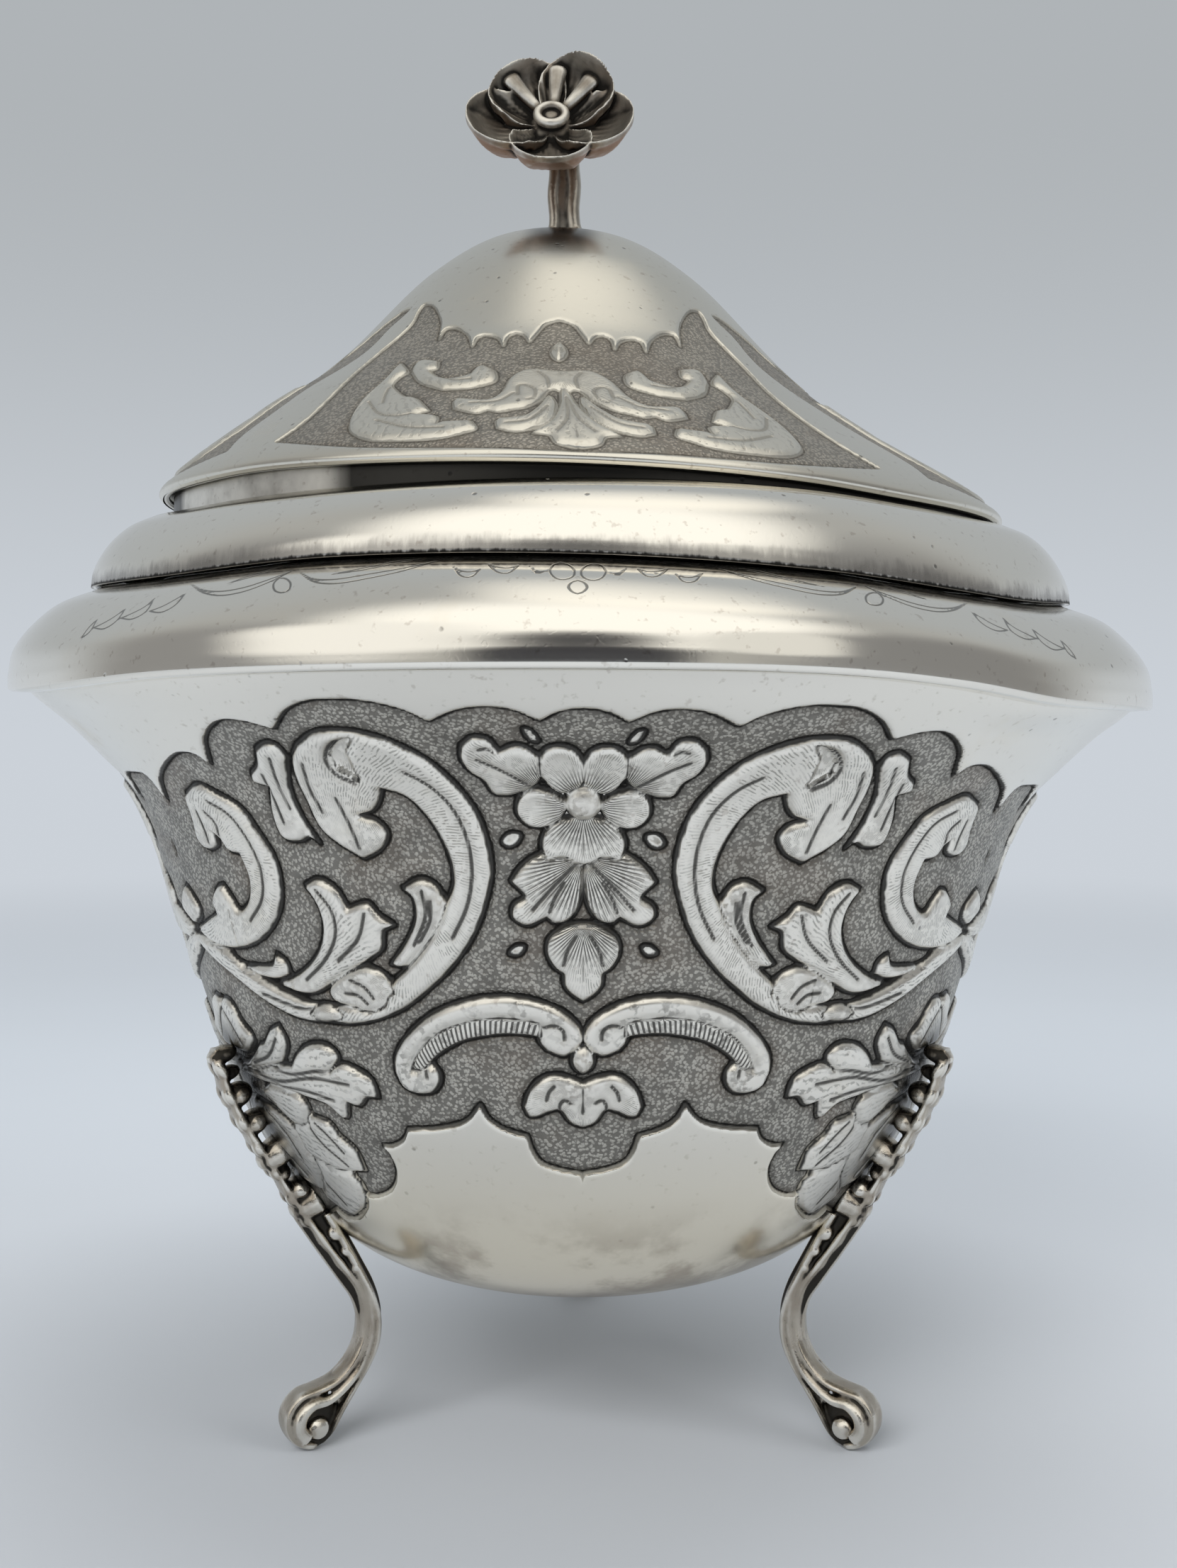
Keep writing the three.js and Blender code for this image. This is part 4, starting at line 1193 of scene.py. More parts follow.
def bowl_ground() -> Sequence[Stroke]:
    """Returns the scalloped border of the bowl's matted ground, left of the panel's middle."""
    return (
        ((940, 1003), (880, 1003), (833, 1003.6), (790, 1009), (763, 1021)),
        ((727, 1008), (684, 1003.6), (640, 1010), (607, 1024)),
        ((570, 1009), (513, 998), (463.6, 996.5), (429, 1000), (403, 1014), (390, 1038)),
        ((340, 1026), (310, 1028), (293, 1050), (301, 1088)),
        ((280, 1074), (253, 1074), (232, 1103), (241.6, 1137.5)),
        ((226, 1116), (214, 1104), (204, 1100), (180, 1100)),
        ((300, 1560), (420, 1690), (462, 1716), (483, 1706)),
        ((499, 1719), (514, 1719), (523.6, 1706), (522, 1687)),
        ((541, 1689), (560, 1679), (566, 1656), (556, 1629.5), (545, 1618)),
        ((560, 1618), (575, 1610), (581, 1595)),
        ((625, 1593), (663, 1583), (682.5, 1560.5)),
        ((694, 1579.6), (717, 1595), (749, 1605)),
        ((756, 1625), (767, 1641), (793, 1652), (826, 1658)),
        ((831, 1672),),
        ((836, 1658), (900, 1645), (940, 1640)),
    )


def leg_fronds() -> Iterator[Motif]:
    """Draws the acanthus fronds round the top of a leg."""
    frond_root = (339.0, 1500.0)
    yield Form.LEAF.motif(
        ((452, 1628), (476, 1636), (504, 1658), (520, 1680), (522, 1704), (510, 1715)),
        ((488, 1702), (462, 1680), (420, 1642), (396, 1606), (400, 1590), (424, 1600)),
        veins=(((420, 1610), (456, 1652), (498, 1698)),),
        root=frond_root, lines=20.0,
    )
    yield Form.LEAF.motif(
        ((372, 1550), (396, 1566), (420, 1588), (438, 1617), (460, 1649), (466, 1679)),
        ((446, 1667), (419, 1640), (391, 1605), (360, 1560), (352, 1530)),
        veins=(((372, 1566), (400, 1606), (444, 1656)), ((384, 1562), (416, 1600), (436, 1632))),
        root=frond_root, lines=20.0,
    )
    yield Form.LEAF.motif(
        ((424, 1556), (447, 1575), (470, 1585), (484, 1603), (506, 1623), (521, 1654)),
        ((492, 1651), (465, 1639), (442, 1623), (432, 1604), (420, 1580)),
        veins=(((440, 1580), (462, 1610), (500, 1644)), ((452, 1582), (474, 1604), (494, 1626))),
        root=frond_root, lines=24.0,
    )
    yield Form.LEAF.motif(
        ((386, 1528), (421, 1541), (440, 1561), (442, 1584)),
        ((430, 1587), (414, 1575), (396, 1556), (380, 1536)),
        root=frond_root, lines=20.0,
    )
    yield Form.LEAF.motif(
        ((417, 1504), (424, 1488), (437, 1476), (458, 1473), (474, 1481), (482, 1495), (470, 1513)),
        ((486, 1502), (511, 1511), (529, 1525), (538, 1550)),
        ((522, 1550), (513, 1561), (495, 1556)),
        ((494, 1579), (470, 1560), (440, 1548), (405, 1534), (372, 1522), (348, 1506), (372, 1500)),
        veins=(
            ((366, 1508), (400, 1524), (450, 1520), (500, 1530)),
            ((384, 1500), (420, 1514), (456, 1510), (474, 1512)), ((396, 1530), (440, 1538), (480, 1552)),
        ),
        root=frond_root, lines=26.0,
    )
    yield Form.LEAF.motif(
        ((342, 1512), (352, 1540), (366, 1566), (388, 1604)),
        ((362, 1580), (344, 1548), (332, 1510), (334, 1496)),
        root=frond_root, lines=18.0,
    )
    yield Form.LEAF.motif(
        ((346, 1492), (356, 1498), (366, 1486), (372, 1474)),
        ((378, 1472), (387, 1453), (398, 1447)),
        ((410, 1472), (405, 1499)),
        ((378, 1506), (358, 1506)),
        veins=(((368, 1498), (388, 1488), (398, 1464)),),
        root=frond_root, lines=20.0,
    )
    yield Form.LEAF.motif(
        ((313, 1413), (324, 1408), (334, 1416), (348, 1442), (364, 1466), (356, 1484), (342, 1478)),
        ((334, 1460), (322, 1436)),
        veins=(((322, 1418), (338, 1446), (352, 1472)),),
        root=frond_root, lines=16.0,
    )
    yield Form.LEAF.motif(
        ((306, 1438), (316, 1436), (330, 1462), (340, 1484), (338, 1500)),
        ((326, 1492), (316, 1470)),
        root=frond_root, lines=16.0,
    )
    yield Form.LEAF.motif(
        ((256, 1340), (268, 1322), (286, 1330), (300, 1360), (312, 1392), (322, 1420), (318, 1448)),
        ((296, 1440), (276, 1400), (262, 1370)),
        veins=(((270, 1345), (292, 1390), (308, 1430)),),
        root=(318.0, 1448.0),
    )
    yield Form.LEAF.motif(
        ((228, 1190), (240, 1186), (252, 1204), (256, 1236), (276, 1262), (290, 1290), (284, 1304)),
        ((262, 1300), (246, 1268), (232, 1232)),
        veins=(((240, 1205), (256, 1250), (276, 1290)),),
        root=(284.0, 1304.0),
    )


def large_scroll() -> Iterator[Motif]:
    """Draws the large scroll and the leaves that grow from it."""
    yield Form.LEAF.motif(
        ((634, 1275), (616.6, 1250), (596, 1243), (570.7, 1256)),
        ((586, 1270), (590, 1298), (578, 1329), (555, 1363)),
        ((580, 1366), (604, 1340), (626, 1308)),
        veins=(((600, 1258), (606, 1292), (590, 1334)), ((612, 1272), (612, 1300), (598, 1330))),
        root=(634.0, 1275.0),
    )
    yield Form.SCROLL.motif(
        (
            (421, 1061), (444, 1043), (486.5, 1039), (528.6, 1045.7), (570.7, 1061), (609, 1082),
            (647, 1114.6), (674, 1149), (691, 1191), (697, 1232), (689, 1275), (674, 1317), (647, 1359.5),
            (609, 1397.8), (571, 1426), (521, 1443.6), (463.6, 1443.7), (425, 1436), (383, 1413),
            (345, 1382.5), (306.7, 1348), (280, 1313.6),
        ),
        (
            (318, 1334), (350, 1362), (390, 1390), (425, 1408), (463, 1420), (510, 1416), (545, 1397),
            (567, 1378.6), (590, 1355.7), (613, 1325), (627, 1298), (634, 1275),
        ),
        ((643, 1250), (639.6, 1218), (624, 1183), (601, 1151), (574.6, 1128), (541, 1118)),
        ((538, 1136), (530, 1149), (510, 1155)),
        ((536, 1164), (549.7, 1181), (541, 1202.6), (517, 1216)),
        ((482.7, 1196), (456, 1173), (436.8, 1135), (421, 1103), (415, 1078), (421, 1061)),
        veins=(
            ((574, 1092), (612, 1112), (646, 1146), (666, 1192), (671, 1236), (664, 1280), (644, 1324)),
            ((496, 1048), (470, 1056), (464, 1076), (478, 1096), (506, 1110)),
            ((432, 1082), (444, 1118), (462, 1150)), ((480, 1130), (500, 1168), (514, 1200)),
            ((380, 1400), (430, 1420), (490, 1430)),
        ),
        root=(520.0, 1240.0), lines=34.0, slant=1.1,
    )
    yield Form.CUT.motif(
        (
            (497, 1049), (480, 1052), (469, 1066), (474, 1084), (492, 1098), (511, 1107), (500, 1086),
            (492, 1068),
        ),
        root=(497.0, 1049.0), scale=0.6,
    )
    yield Form.LEAF.motif(
        ((364, 1067), (378, 1058), (394, 1062), (407, 1078)),
        ((412, 1120), (430, 1160), (455, 1196)),
        ((440, 1186), (429, 1192), (406, 1189), (389, 1155), (384, 1118)),
        ((362, 1110), (358, 1100)),
        ((366, 1090),),
        veins=(((386, 1076), (398, 1110), (416, 1146)), ((376, 1098), (392, 1130), (408, 1166))),
        root=(455.0, 1196.0),
    )


def scroll_leaf() -> Iterator[Motif]:
    """Draws the leaf in the middle of the large scroll."""
    yield Form.LEAF.motif(
        ((433, 1253), (452, 1244), (476, 1256), (495, 1284)),
        ((522, 1277), (537, 1292), (560, 1308)),
        ((545, 1316), (543, 1340), (525, 1356), (482.7, 1383), (444, 1403), (396, 1388)),
        ((418, 1380), (442, 1362), (457, 1336), (460, 1306), (450, 1276)),
        veins=(
            ((452, 1258), (474, 1286), (480, 1320), (466, 1354), (440, 1382)),
            ((520, 1290), (512, 1324), (484, 1356)),
        ),
        root=(420.0, 1392.0),
    )
    yield Form.LEAF.motif(
        ((394, 1347), (408, 1358), (414, 1376)),
        ((398, 1382), (372, 1376), (350, 1362)),
        ((374, 1364), (390, 1362)),
        root=(350.0, 1362.0),
    )
    yield Form.LEAF.motif(
        ((498, 1372), (524, 1366), (549, 1378), (563, 1402)),
        ((556, 1404), (549, 1420), (528, 1428), (504, 1420)),
        ((480, 1414), (470, 1396)),
        veins=(((500, 1382), (520, 1392), (534, 1408)), ((494, 1400), (512, 1404), (526, 1416))),
        root=(498.0, 1372.0),
    )
    yield Form.BEAD.motif(((446, 1428), (456, 1418), (474, 1420), (490, 1436), (474, 1442), (456, 1440)))


def side_scroll() -> Iterator[Motif]:
    """Draws the small scroll at the side of the panel."""
    yield Form.SCROLL.motif(
        (
            (266.5, 1130), (282, 1117), (314, 1130), (345, 1149), (368, 1179.6), (391, 1216), (400, 1252),
            (398.5, 1286.8), (383, 1317), (360, 1334.6), (329.6, 1338.4), (306.7, 1329), (288, 1309.7),
        ),
        ((300, 1300), (314, 1290)),
        ((307, 1270), (313, 1254), (320, 1252)),
        ((331, 1268), (345, 1286.8), (356, 1275), (358, 1244.7), (345, 1210)),
        ((330, 1206), (318, 1190), (306, 1180)),
        ((312, 1198), (300, 1204), (286, 1188), (278, 1160)),
        veins=(
            ((300, 1136), (330, 1154), (358, 1190), (376, 1230), (378, 1270), (362, 1300)),
            ((296, 1150), (312, 1166), (318, 1184)), ((286, 1150), (298, 1176), (304, 1194)),
        ),
        root=(320.0, 1240.0), lines=22.0, slant=1.1, scale=0.95,
    )


def flower_spray() -> Iterator[Motif]:
    """Draws the flower and its leaves."""
    flower_heart = (831.0, 1136.0)
    yield Form.LEAF.motif(
        ((653, 1058), (668, 1046), (690, 1048), (706, 1066)),
        ((730, 1056), (756, 1066), (772, 1084)),
        ((766, 1104), (748, 1120), (722, 1126)),
        ((700, 1124), (686, 1106), (664, 1092), (652, 1074)),
        veins=(((676, 1074), (706, 1086), (756, 1112)), ((678, 1060), (690, 1058), (700, 1064))),
        root=(770.0, 1116.0), hatch=5.0,
    )
    yield Form.LEAF.motif(
        ((824, 1216), (796, 1206), (764, 1208), (738, 1226), (724, 1246)),
        ((742, 1262), (746, 1268)),
        ((728, 1280), (727, 1296), (748, 1308), (776, 1296)),
        ((786, 1304), (804, 1302), (818, 1286), (828, 1256)),
        ((829, 1234),),
        veins=(((818, 1218), (790, 1246), (756, 1284)), ((800, 1246), (786, 1270), (780, 1288))),
        root=(826.0, 1212.0), hatch=9.0,
    )
    yield Form.LEAF.motif(
        ((842, 1306), (824, 1304), (800, 1310), (779, 1326), (776, 1346), (787, 1367), (800, 1376)),
        ((802, 1394), (816, 1408), (833, 1417)),
        ((850, 1408), (862, 1388), (866, 1370)),
        ((880, 1340), (874, 1318), (858, 1308)),
        veins=(
            ((833, 1312), (834, 1340), (833, 1368)), ((818, 1320), (806, 1340), (800, 1362)),
            ((848, 1320), (858, 1340), (862, 1360)),
        ),
        root=(832.0, 1300.0), hatch=7.0,
    )
    yield Form.PETAL.motif(
        (
            (770, 1064), (792, 1056), (814, 1062), (827, 1080), (827, 1107), (808, 1124), (784, 1117),
            (765, 1092),
        ),
        root=flower_heart, hatch=6.2,
    )
    yield Form.PETAL.motif(
        (
            (735, 1130), (752, 1117), (780, 1121), (803, 1138), (798, 1156), (776, 1170), (748, 1167),
            (733, 1150),
        ),
        root=flower_heart, hatch=6.2,
    )
    yield Form.PETAL.motif(
        (
            (776, 1214), (768, 1198), (772, 1178), (794, 1160), (831, 1156), (868, 1160), (890, 1178),
            (892, 1198), (886, 1212),
        ),
        ((862, 1210), (846, 1218), (831, 1222), (816, 1218), (800, 1210)),
        root=flower_heart, hatch=7.4,
    )
    yield Form.BEAD.motif(
        (
            (800, 1136), (808, 1118), (830, 1112), (852, 1118), (861, 1136), (852, 1152), (830, 1158),
            (808, 1152),
        ),
        root=flower_heart, scale=1.5,
    )


def lower_scroll() -> Iterator[Motif]:
    """Draws the lower small scroll, bead and trefoil."""
    yield Form.SCROLL.motif(
        (
            (562, 1512), (562, 1492), (570, 1474), (587, 1453), (617, 1430), (663, 1413), (709, 1407),
            (759, 1413), (797, 1428), (822, 1450), (828, 1470), (818, 1486), (800, 1492), (776, 1484),
        ),
        ((764, 1468), (768, 1452)),
        ((728, 1443), (690, 1444), (652, 1451), (617, 1468), (594, 1492), (588, 1506)),
        ((600, 1500), (620, 1508), (626, 1526), (616, 1542), (594, 1544), (574, 1534)),
        veins=(
            ((768, 1452), (786, 1446), (800, 1454), (802, 1466)), ((588, 1506), (604, 1506), (610, 1520)),
        ),
        root=(690.0, 1560.0), lines=0.0,
    )
    yield Form.RIBBED.motif(
        ((586, 1510), (594, 1488), (617, 1463), (652, 1446), (690, 1438), (728, 1438), (766, 1444)),
        ((768, 1464), (755, 1463), (727, 1460), (690, 1463), (652, 1472), (622, 1490), (604, 1508)),
        root=(690.0, 1700.0), lines=0.0, hatch=60.0, hatch_from=(700.0, 1640.0), hatch_count=190,
    )
    yield Form.BEAD.motif(
        (
            (812, 1498), (818, 1484), (831, 1479), (844, 1484), (850, 1498), (844, 1512), (831, 1517),
            (818, 1512),
        ),
    )
    yield Form.LEAF.motif(
        (
            (744, 1563), (750, 1545), (761, 1530), (777, 1520), (797, 1519), (814, 1524), (831, 1531),
            (848, 1534),
        ),
        ((863, 1558), (852, 1581), (831, 1592), (811, 1586), (798, 1570)),
        ((792, 1568), (779, 1571), (764, 1577), (752, 1577)),
        veins=(
            ((800, 1576), (795, 1562), (801, 1552), (811, 1556)), ((788, 1532), (780, 1541), (777, 1552)),
            ((829, 1536), (830, 1552), (828, 1570)),
        ),
        root=(831.0, 1528.0),
    )


def seed_drops() -> Iterator[Motif]:
    """Draws the seed drops on the ground."""
    yield Form.CUT.motif(((712, 1192), (722, 1180), (738, 1182), (732, 1194), (720, 1198)))
    yield Form.CUT.motif(((740, 1034), (750, 1036), (762, 1052), (750, 1050)))
    yield Form.CUT.motif(((722, 1348), (732, 1338), (744, 1338), (736, 1350)))


def bowl_motifs() -> Sequence[Motif]:
    """Returns the motifs of half a bowl panel, lowest first."""
    groups = (leg_fronds, large_scroll, scroll_leaf, side_scroll, flower_spray, lower_scroll, seed_drops)
    return [motif for group in groups for motif in group()]


@dataclass
class Bowl:
    """Raised bowl: plain throat, chased panels with a matted ground, and a plain bottom."""

    stations: Stroke = (
        (0.0, 18.2), (22.0, 20.6), (36.8, 28.0), (49.2, 46.3), (57.0, 68.0), (64.2, 87.5), (77.3, 101.5),
    )
    sheet: float = 1.0
    columns: int = 1080
    row_spacing: float = 0.36
    panel_turn: float = math.radians(0.5)
    centre_px: float = 831.0
    inner_columns: int = 240
    inner_spacing: float = 1.6
    strap_foot: Pair = (29.0, 34.0)
    strap_top: Pair = (55.0, 61.0)

    def painted_dark(self, line: np.ndarray, angles: np.ndarray) -> np.ndarray:
        """Returns the painted shade on the bowl behind the legs, as how far it is painted black, over half a
        panel.
        """
        across = line[:, :1] * (math.pi / 3 - angles[None, :])
        height = line[:, 1:]
        strap = ease(height, *self.strap_foot) * (1 - ease(height, *self.strap_top))
        wide = (0.35 + 0.3 * (1 - ease(height, 36.0, 52.0))) * (1 - ease(across, 6.0, 19.0))
        return strap * np.maximum(0.95 * (1 - ease(across, 1.8, 6.0)), wide)

    def build(self) -> bpy.types.Object:
        """Makes the chased outer skin and the plain inner one."""
        profile = smooth_line(self.stations, LINE_STEPS)
        line = spaced(profile, self.row_spacing)
        panel = ChasedPanel(line, 3, self.columns, self.centre_px, bowl_ground(), bowl_motifs())
        # Painted shade: the bowl is painted dark behind each leg.
        painted_dark = panel.spread(self.painted_dark(line, panel.half_angles())).ravel()
        inner = spaced(profile, self.inner_spacing)
        inner = inner - line_normals(inner) * self.sheet
        inner[0, 0] = 0.0
        skin = TurnedSkin(line, self.columns, -math.pi / 2 + self.panel_turn)
        under = TurnedSkin(inner[::-1], self.inner_columns)
        bowl = panel.sheet_metal("bowl_chased", skin, under, lambda points: painted_dark, SETTLING.box)
        return fit(bowl, CHASED, "box", "bowl")


# Rings


def graver_cut(run: Stroke, width: float) -> Motif:
    """Returns a thin curved cut that is widest in its middle.

    Args:
        run: Pixels along the cut's lower side.
        width: The cut's width in pixels.
    """
    swell = [width * math.sin(math.pi * k / (len(run) - 1)) for k in range(len(run))]
    upper = [(x, y - rise) for (x, y), rise in zip(run, swell)]
    return Form.GRAVED.motif(run, tuple(upper[-2:0:-1]))


def border_cuts() -> Iterator[Motif]:
    """Draws the engraved border under the seam, left of its middle."""
    yield Form.GRAVED.motif(
        ((826, 820), (808, 818), (794, 822), (790, 828), (796, 835), (808, 838), (826, 836))
    )
    yield Form.GRAVED.motif(
        ((764, 806), (770, 797), (784, 795), (797, 802), (798, 812), (784, 818), (770, 815))
    )
    yield graver_cut(((736, 800), (746, 810), (758, 806)), 3)
    yield graver_cut(((676, 797), (690, 809), (706, 810), (720, 799)), 8)
    yield graver_cut(((628, 802), (638, 815), (654, 816), (666, 805)), 8)
    yield graver_cut(((604, 795), (560, 808), (510, 819), (455, 827), (428, 823), (412, 811)), 6)
    yield graver_cut(((590, 792), (550, 798), (500, 808), (456, 814)), 3)
    yield Form.GRAVED.motif(
        ((374, 828), (380, 820), (390, 819), (398, 826), (396, 835), (386, 839), (376, 836))
    )
    yield graver_cut(((402, 808), (370, 823), (330, 837), (296, 841), (272, 835), (258, 823)), 6)
    yield graver_cut(((392, 800), (350, 814), (310, 824)), 3)
    yield graver_cut(((250, 836), (236, 852), (216, 862), (198, 860)), 9)
    yield graver_cut(((206, 842), (194, 860), (174, 870), (158, 868)), 9)
    yield graver_cut(((166, 854), (152, 872), (134, 882), (120, 880)), 9)
    yield graver_cut(((126, 868), (114, 886), (102, 894)), 7)


@dataclass
class Rings:
    """Convex shoulder and collar, with the dark crimped seam between them."""

    shoulder: Stroke = ((80.0, 103.5), (79.4, 107.2), (77.3, 111.1), (73.7, 114.9), (68.4, 117.3))
    shoulder_edge: Stroke = ((75.5, 101.4), (79.6, 101.4), (80.0, 101.8))
    collar: Stroke = ((69.4, 117.6), (69.1, 119.7), (67.3, 123.0), (64.5, 125.7), (61.2, 127.3))
    mouth: Stroke = ((59.6, 127.3), (59.0, 126.9), (58.9, 126.3), (58.9, 118.7))
    wall: float = 1.0
    columns: int = 1080
    row_spacing: float = 0.42
    centre_px: float = 808.0

    def ring(
        self, name: str, outer: np.ndarray, edge: np.ndarray, seam: np.ndarray, node: str
    ) -> bpy.types.Object:
        """Makes a hollow ring of sheet from its outer line.

        Args:
            name: The piece's name.
            outer: Rows of radius and height, from the bottom up.
            edge: Distance of each grid point from the nearest engraved line.
            seam: Distance of each row from the soldered seam.
            node: The node that the ring stands for.
        """
        inner = outer - line_normals(outer) * self.wall
        points, faces = TurnedSkin(np.vstack([outer, inner[::-1]]), self.columns).shell(closed_line=True)
        layers = {
            "edge": padded(edge.ravel(), len(points), FAR),
            "seam": padded(np.repeat(seam, self.columns), len(points), FAR),
        }
        piece = MeshMaker.build(name, SETTLING.box(points), faces, layers)
        return fit(piece, GRAVED, "box", node)

    def build(self) -> list[bpy.types.Object]:
        """Makes both rings."""
        bulge = spaced(np.vstack([self.shoulder_edge, smooth_line(self.shoulder)]), self.row_spacing)
        rise = spaced(np.vstack([smooth_line(self.collar), self.mouth]), self.row_spacing)
        front = SETTLING.at_front(bulge, SETTLING.box)
        cuts = [*border_cuts()]
        panel = ChasedPanel(bulge, 3, self.columns, self.centre_px, (), cuts, 0.0, 0.0, seen=front)
        border = panel.spread(panel.chase().edge)
        to_seam = arc_lengths(bulge)[-1] - arc_lengths(bulge)
        plain = np.full((len(rise), self.columns), FAR)
        return [
            self.ring("shoulder_polished", bulge, border, to_seam, "shoulder_ring"),
            self.ring("collar_polished", rise, plain, arc_lengths(rise), "collar_ring"),
        ]


# Lid


def lid_ground() -> Sequence[Stroke]:
    """Returns the border of the lid's matted ground, left of the panel's middle."""
    return (
        ((832, 474), (814, 457), (788, 451), (763, 457), (749, 471), (740, 482)),
        ((732, 473), (720, 471), (708, 477), (703, 489)),
        ((697, 479), (680, 475), (666, 479), (659, 491)),
        ((653, 475), (637, 466), (620, 469), (612, 482)),
        ((615, 455), (603, 434), (590, 435), (581, 447)),
        ((574, 461), (520, 512), (456, 568), (400, 610), (352, 640)),
        ((460, 641), (560, 638), (660, 635), (788, 636), (832, 636)),
    )


def lid_motifs() -> Iterator[Motif]:
    """Draws the motifs of half a lid panel, lowest first."""
    yield Form.LOW.motif(
        (
            (558, 518), (530, 545), (485, 580), (464, 604), (460, 618), (478, 628), (519, 628), (578, 623),
            (614, 614), (636, 606), (632, 596),
        ),
        ((608, 598), (590, 600), (580, 604)),
        ((586, 592), (560, 590), (578, 584)),
        ((567, 568), (552, 566), (545, 560)),
        ((540, 552), (552, 540), (566, 530)),
        veins=(
            ((500, 579), (506, 594), (528, 597), (562, 590)), ((546, 546), (528, 566), (518, 580)),
            ((500, 604), (540, 612), (590, 610)),
        ),
        root=(560.0, 520.0), lines=16.0,
    )
    yield Form.LOW.motif(
        ((572, 530), (580, 518), (594, 513), (611, 514)),
        ((608, 524), (598, 528), (606, 536)),
        ((622, 538), (652, 531), (662, 522), (672, 518), (688, 524), (687, 537), (652, 549), (608, 554)),
        ((580, 545),),
        veins=(((598, 530), (624, 542), (652, 540)),),
        root=(630.0, 600.0), lines=10.0,
    )
    yield Form.LOW.motif(
        ((666, 605), (689, 609), (722, 601), (748, 587), (762, 566)),
        ((756, 556), (735, 572), (711, 586), (690, 590), (668, 594)),
        veins=(((680, 600), (716, 594), (748, 574)),),
        root=(770.0, 550.0), lines=14.0,
    )
    yield Form.LOW.motif(
        ((786, 523), (770, 522), (737, 521), (711, 532), (690, 554), (667, 566), (619, 568), (614, 580)),
        ((644, 585), (660, 580), (674, 582), (696, 578), (716, 574), (740, 562), (760, 548), (786, 548)),
        veins=(
            ((712, 560), (716, 548), (728, 546), (738, 552), (734, 562), (722, 566)),
            ((640, 574), (680, 570), (706, 558)), ((750, 526), (760, 536), (758, 552)),
        ),
        root=(786.0, 530.0), lines=12.0,
    )
    yield Form.LOW.motif(
        ((714, 610), (724, 604), (748, 590), (768, 566), (776, 548), (788, 545), (800, 548)),
        ((812, 600), (806, 628), (788, 628), (770, 629)),
        ((745, 623), (738, 613)),
        veins=(((778, 560), (770, 590), (750, 608)), ((788, 560), (788, 590)), ((782, 596), (778, 616))),
        root=(788.0, 540.0), lines=14.0,
    )
    yield Form.BEAD.motif(
        ((770, 495), (776, 485), (788, 482), (800, 485), (806, 495), (800, 505), (788, 508), (776, 505))
    )


@dataclass
class Lid:
    """Ogee dome with a plain cap, chased skirt, edge wire and bezel."""

    stations: Stroke = (
        (59.9, 128.2), (60.4, 128.8), (59.7, 130.0), (56.2, 132.9), (45.5, 139.8), (34.0, 147.7),
        (20.2, 161.9), (11.1, 167.9), (1.6, 169.5),
    )
    sheet: float = 1.0
    columns: int = 1040
    row_spacing: float = 0.34
    centre_px: float = 788.0
    crown_side: float = -2.6
    crown_rise: float = 14.0
    edge_z: float = 129.4
    wire_radius: float = 0.45
    wire_middle: Pair = (59.4, 128.6)
    wire_columns: int = 360
    bezel: Stroke = ((58.4, 122.1), (58.4, 129.0), (57.6, 129.0), (57.6, 122.1))
    bezel_columns: int = 240
    bezel_spacing: float = 0.6
    soot_middle: Pair = (0.0, -12.0)
    soot_size: Pair = (6.4, 12.5)
    clean_from: Pair = (27.0, 32.0)
    clean_to: Pair = (63.0, 66.0)

    def lean(self, points: np.ndarray) -> np.ndarray:
        """Moves the dome's crown sideways over its edge, and settles the lid."""
        moved = points.copy()
        moved[:, 0] += self.crown_side * ease(points[:, 2], self.edge_z, self.edge_z + self.crown_rise)
        return SETTLING.lid(moved)

    def painted_dark(self, points: np.ndarray) -> np.ndarray:
        """Returns the painted dark reflection of the flower and stalk on the cap in front of the stalk, as
        how far it is painted black.
        """
        # Painted reflection: a dark patch on the cap in front of the stalk.
        away = (points[:, :2] - self.soot_middle) / self.soot_size
        return 0.88 * (1 - ease(np.hypot(away[:, 0], away[:, 1]), 0.4, 1.0))

    def dome(self) -> bpy.types.Object:
        """Makes the chased dome."""
        line = spaced(smooth_line(self.stations, LINE_STEPS), self.row_spacing)
        under = (line - line_normals(line) * self.sheet)[::-2]
        panel = ChasedPanel(
            line,
            4,
            self.columns,
            self.centre_px,
            lid_ground(),
            [*lid_motifs()],
            ground_drop=0.22,
            groove=0.16,
            side=self.crown_side,
            seen=SETTLING.at_front(line, SETTLING.lid),
        )
        skin = TurnedSkin(line, self.columns)
        inner = TurnedSkin(under, self.columns // 4)
        dome = panel.sheet_metal("lid_chased", skin, inner, self.painted_dark, self.lean)
        return fit(dome, LID_CHASED, "lid", "lid_dome")

    def wire(self) -> bpy.types.Object:
        """Makes the wire that stiffens the edge."""
        section = round_section(self.wire_middle, self.wire_radius)
        points, faces = TurnedSkin(section, self.wire_columns).shell(closed_line=True)
        wire = MeshMaker.build("lid_wire", SETTLING.lid(points), faces)
        return fit(wire, WIRE, "lid", "lid_edge_wire")

    def band(self) -> bpy.types.Object:
        """Makes the bezel, painted black as shade in the gap under the lid except on a stretch to the left of
        the front, which is left lit.
        """
        line = spaced(np.vstack([self.bezel, self.bezel[:1]]), self.bezel_spacing)[:-1]
        points, faces = TurnedSkin(line, self.bezel_columns).shell(closed_line=True)
        from_front = np.degrees(np.arctan2(-points[:, 0], -points[:, 1]))
        # Painted shade: black all round the bezel, but for the lit stretch.
        lit_stretch = ease(from_front, *self.clean_from) * (1 - ease(from_front, *self.clean_to))
        band = MeshMaker.build("lid_band", SETTLING.lid(points), faces, {"painted_dark": 1 - lit_stretch})
        return fit(band, DULL, "lid", "lid_bezel")

    def build(self) -> list[bpy.types.Object]:
        """Makes the dome, the edge wire and the bezel."""
        return [self.dome(), self.wire(), self.band()]


# Legs


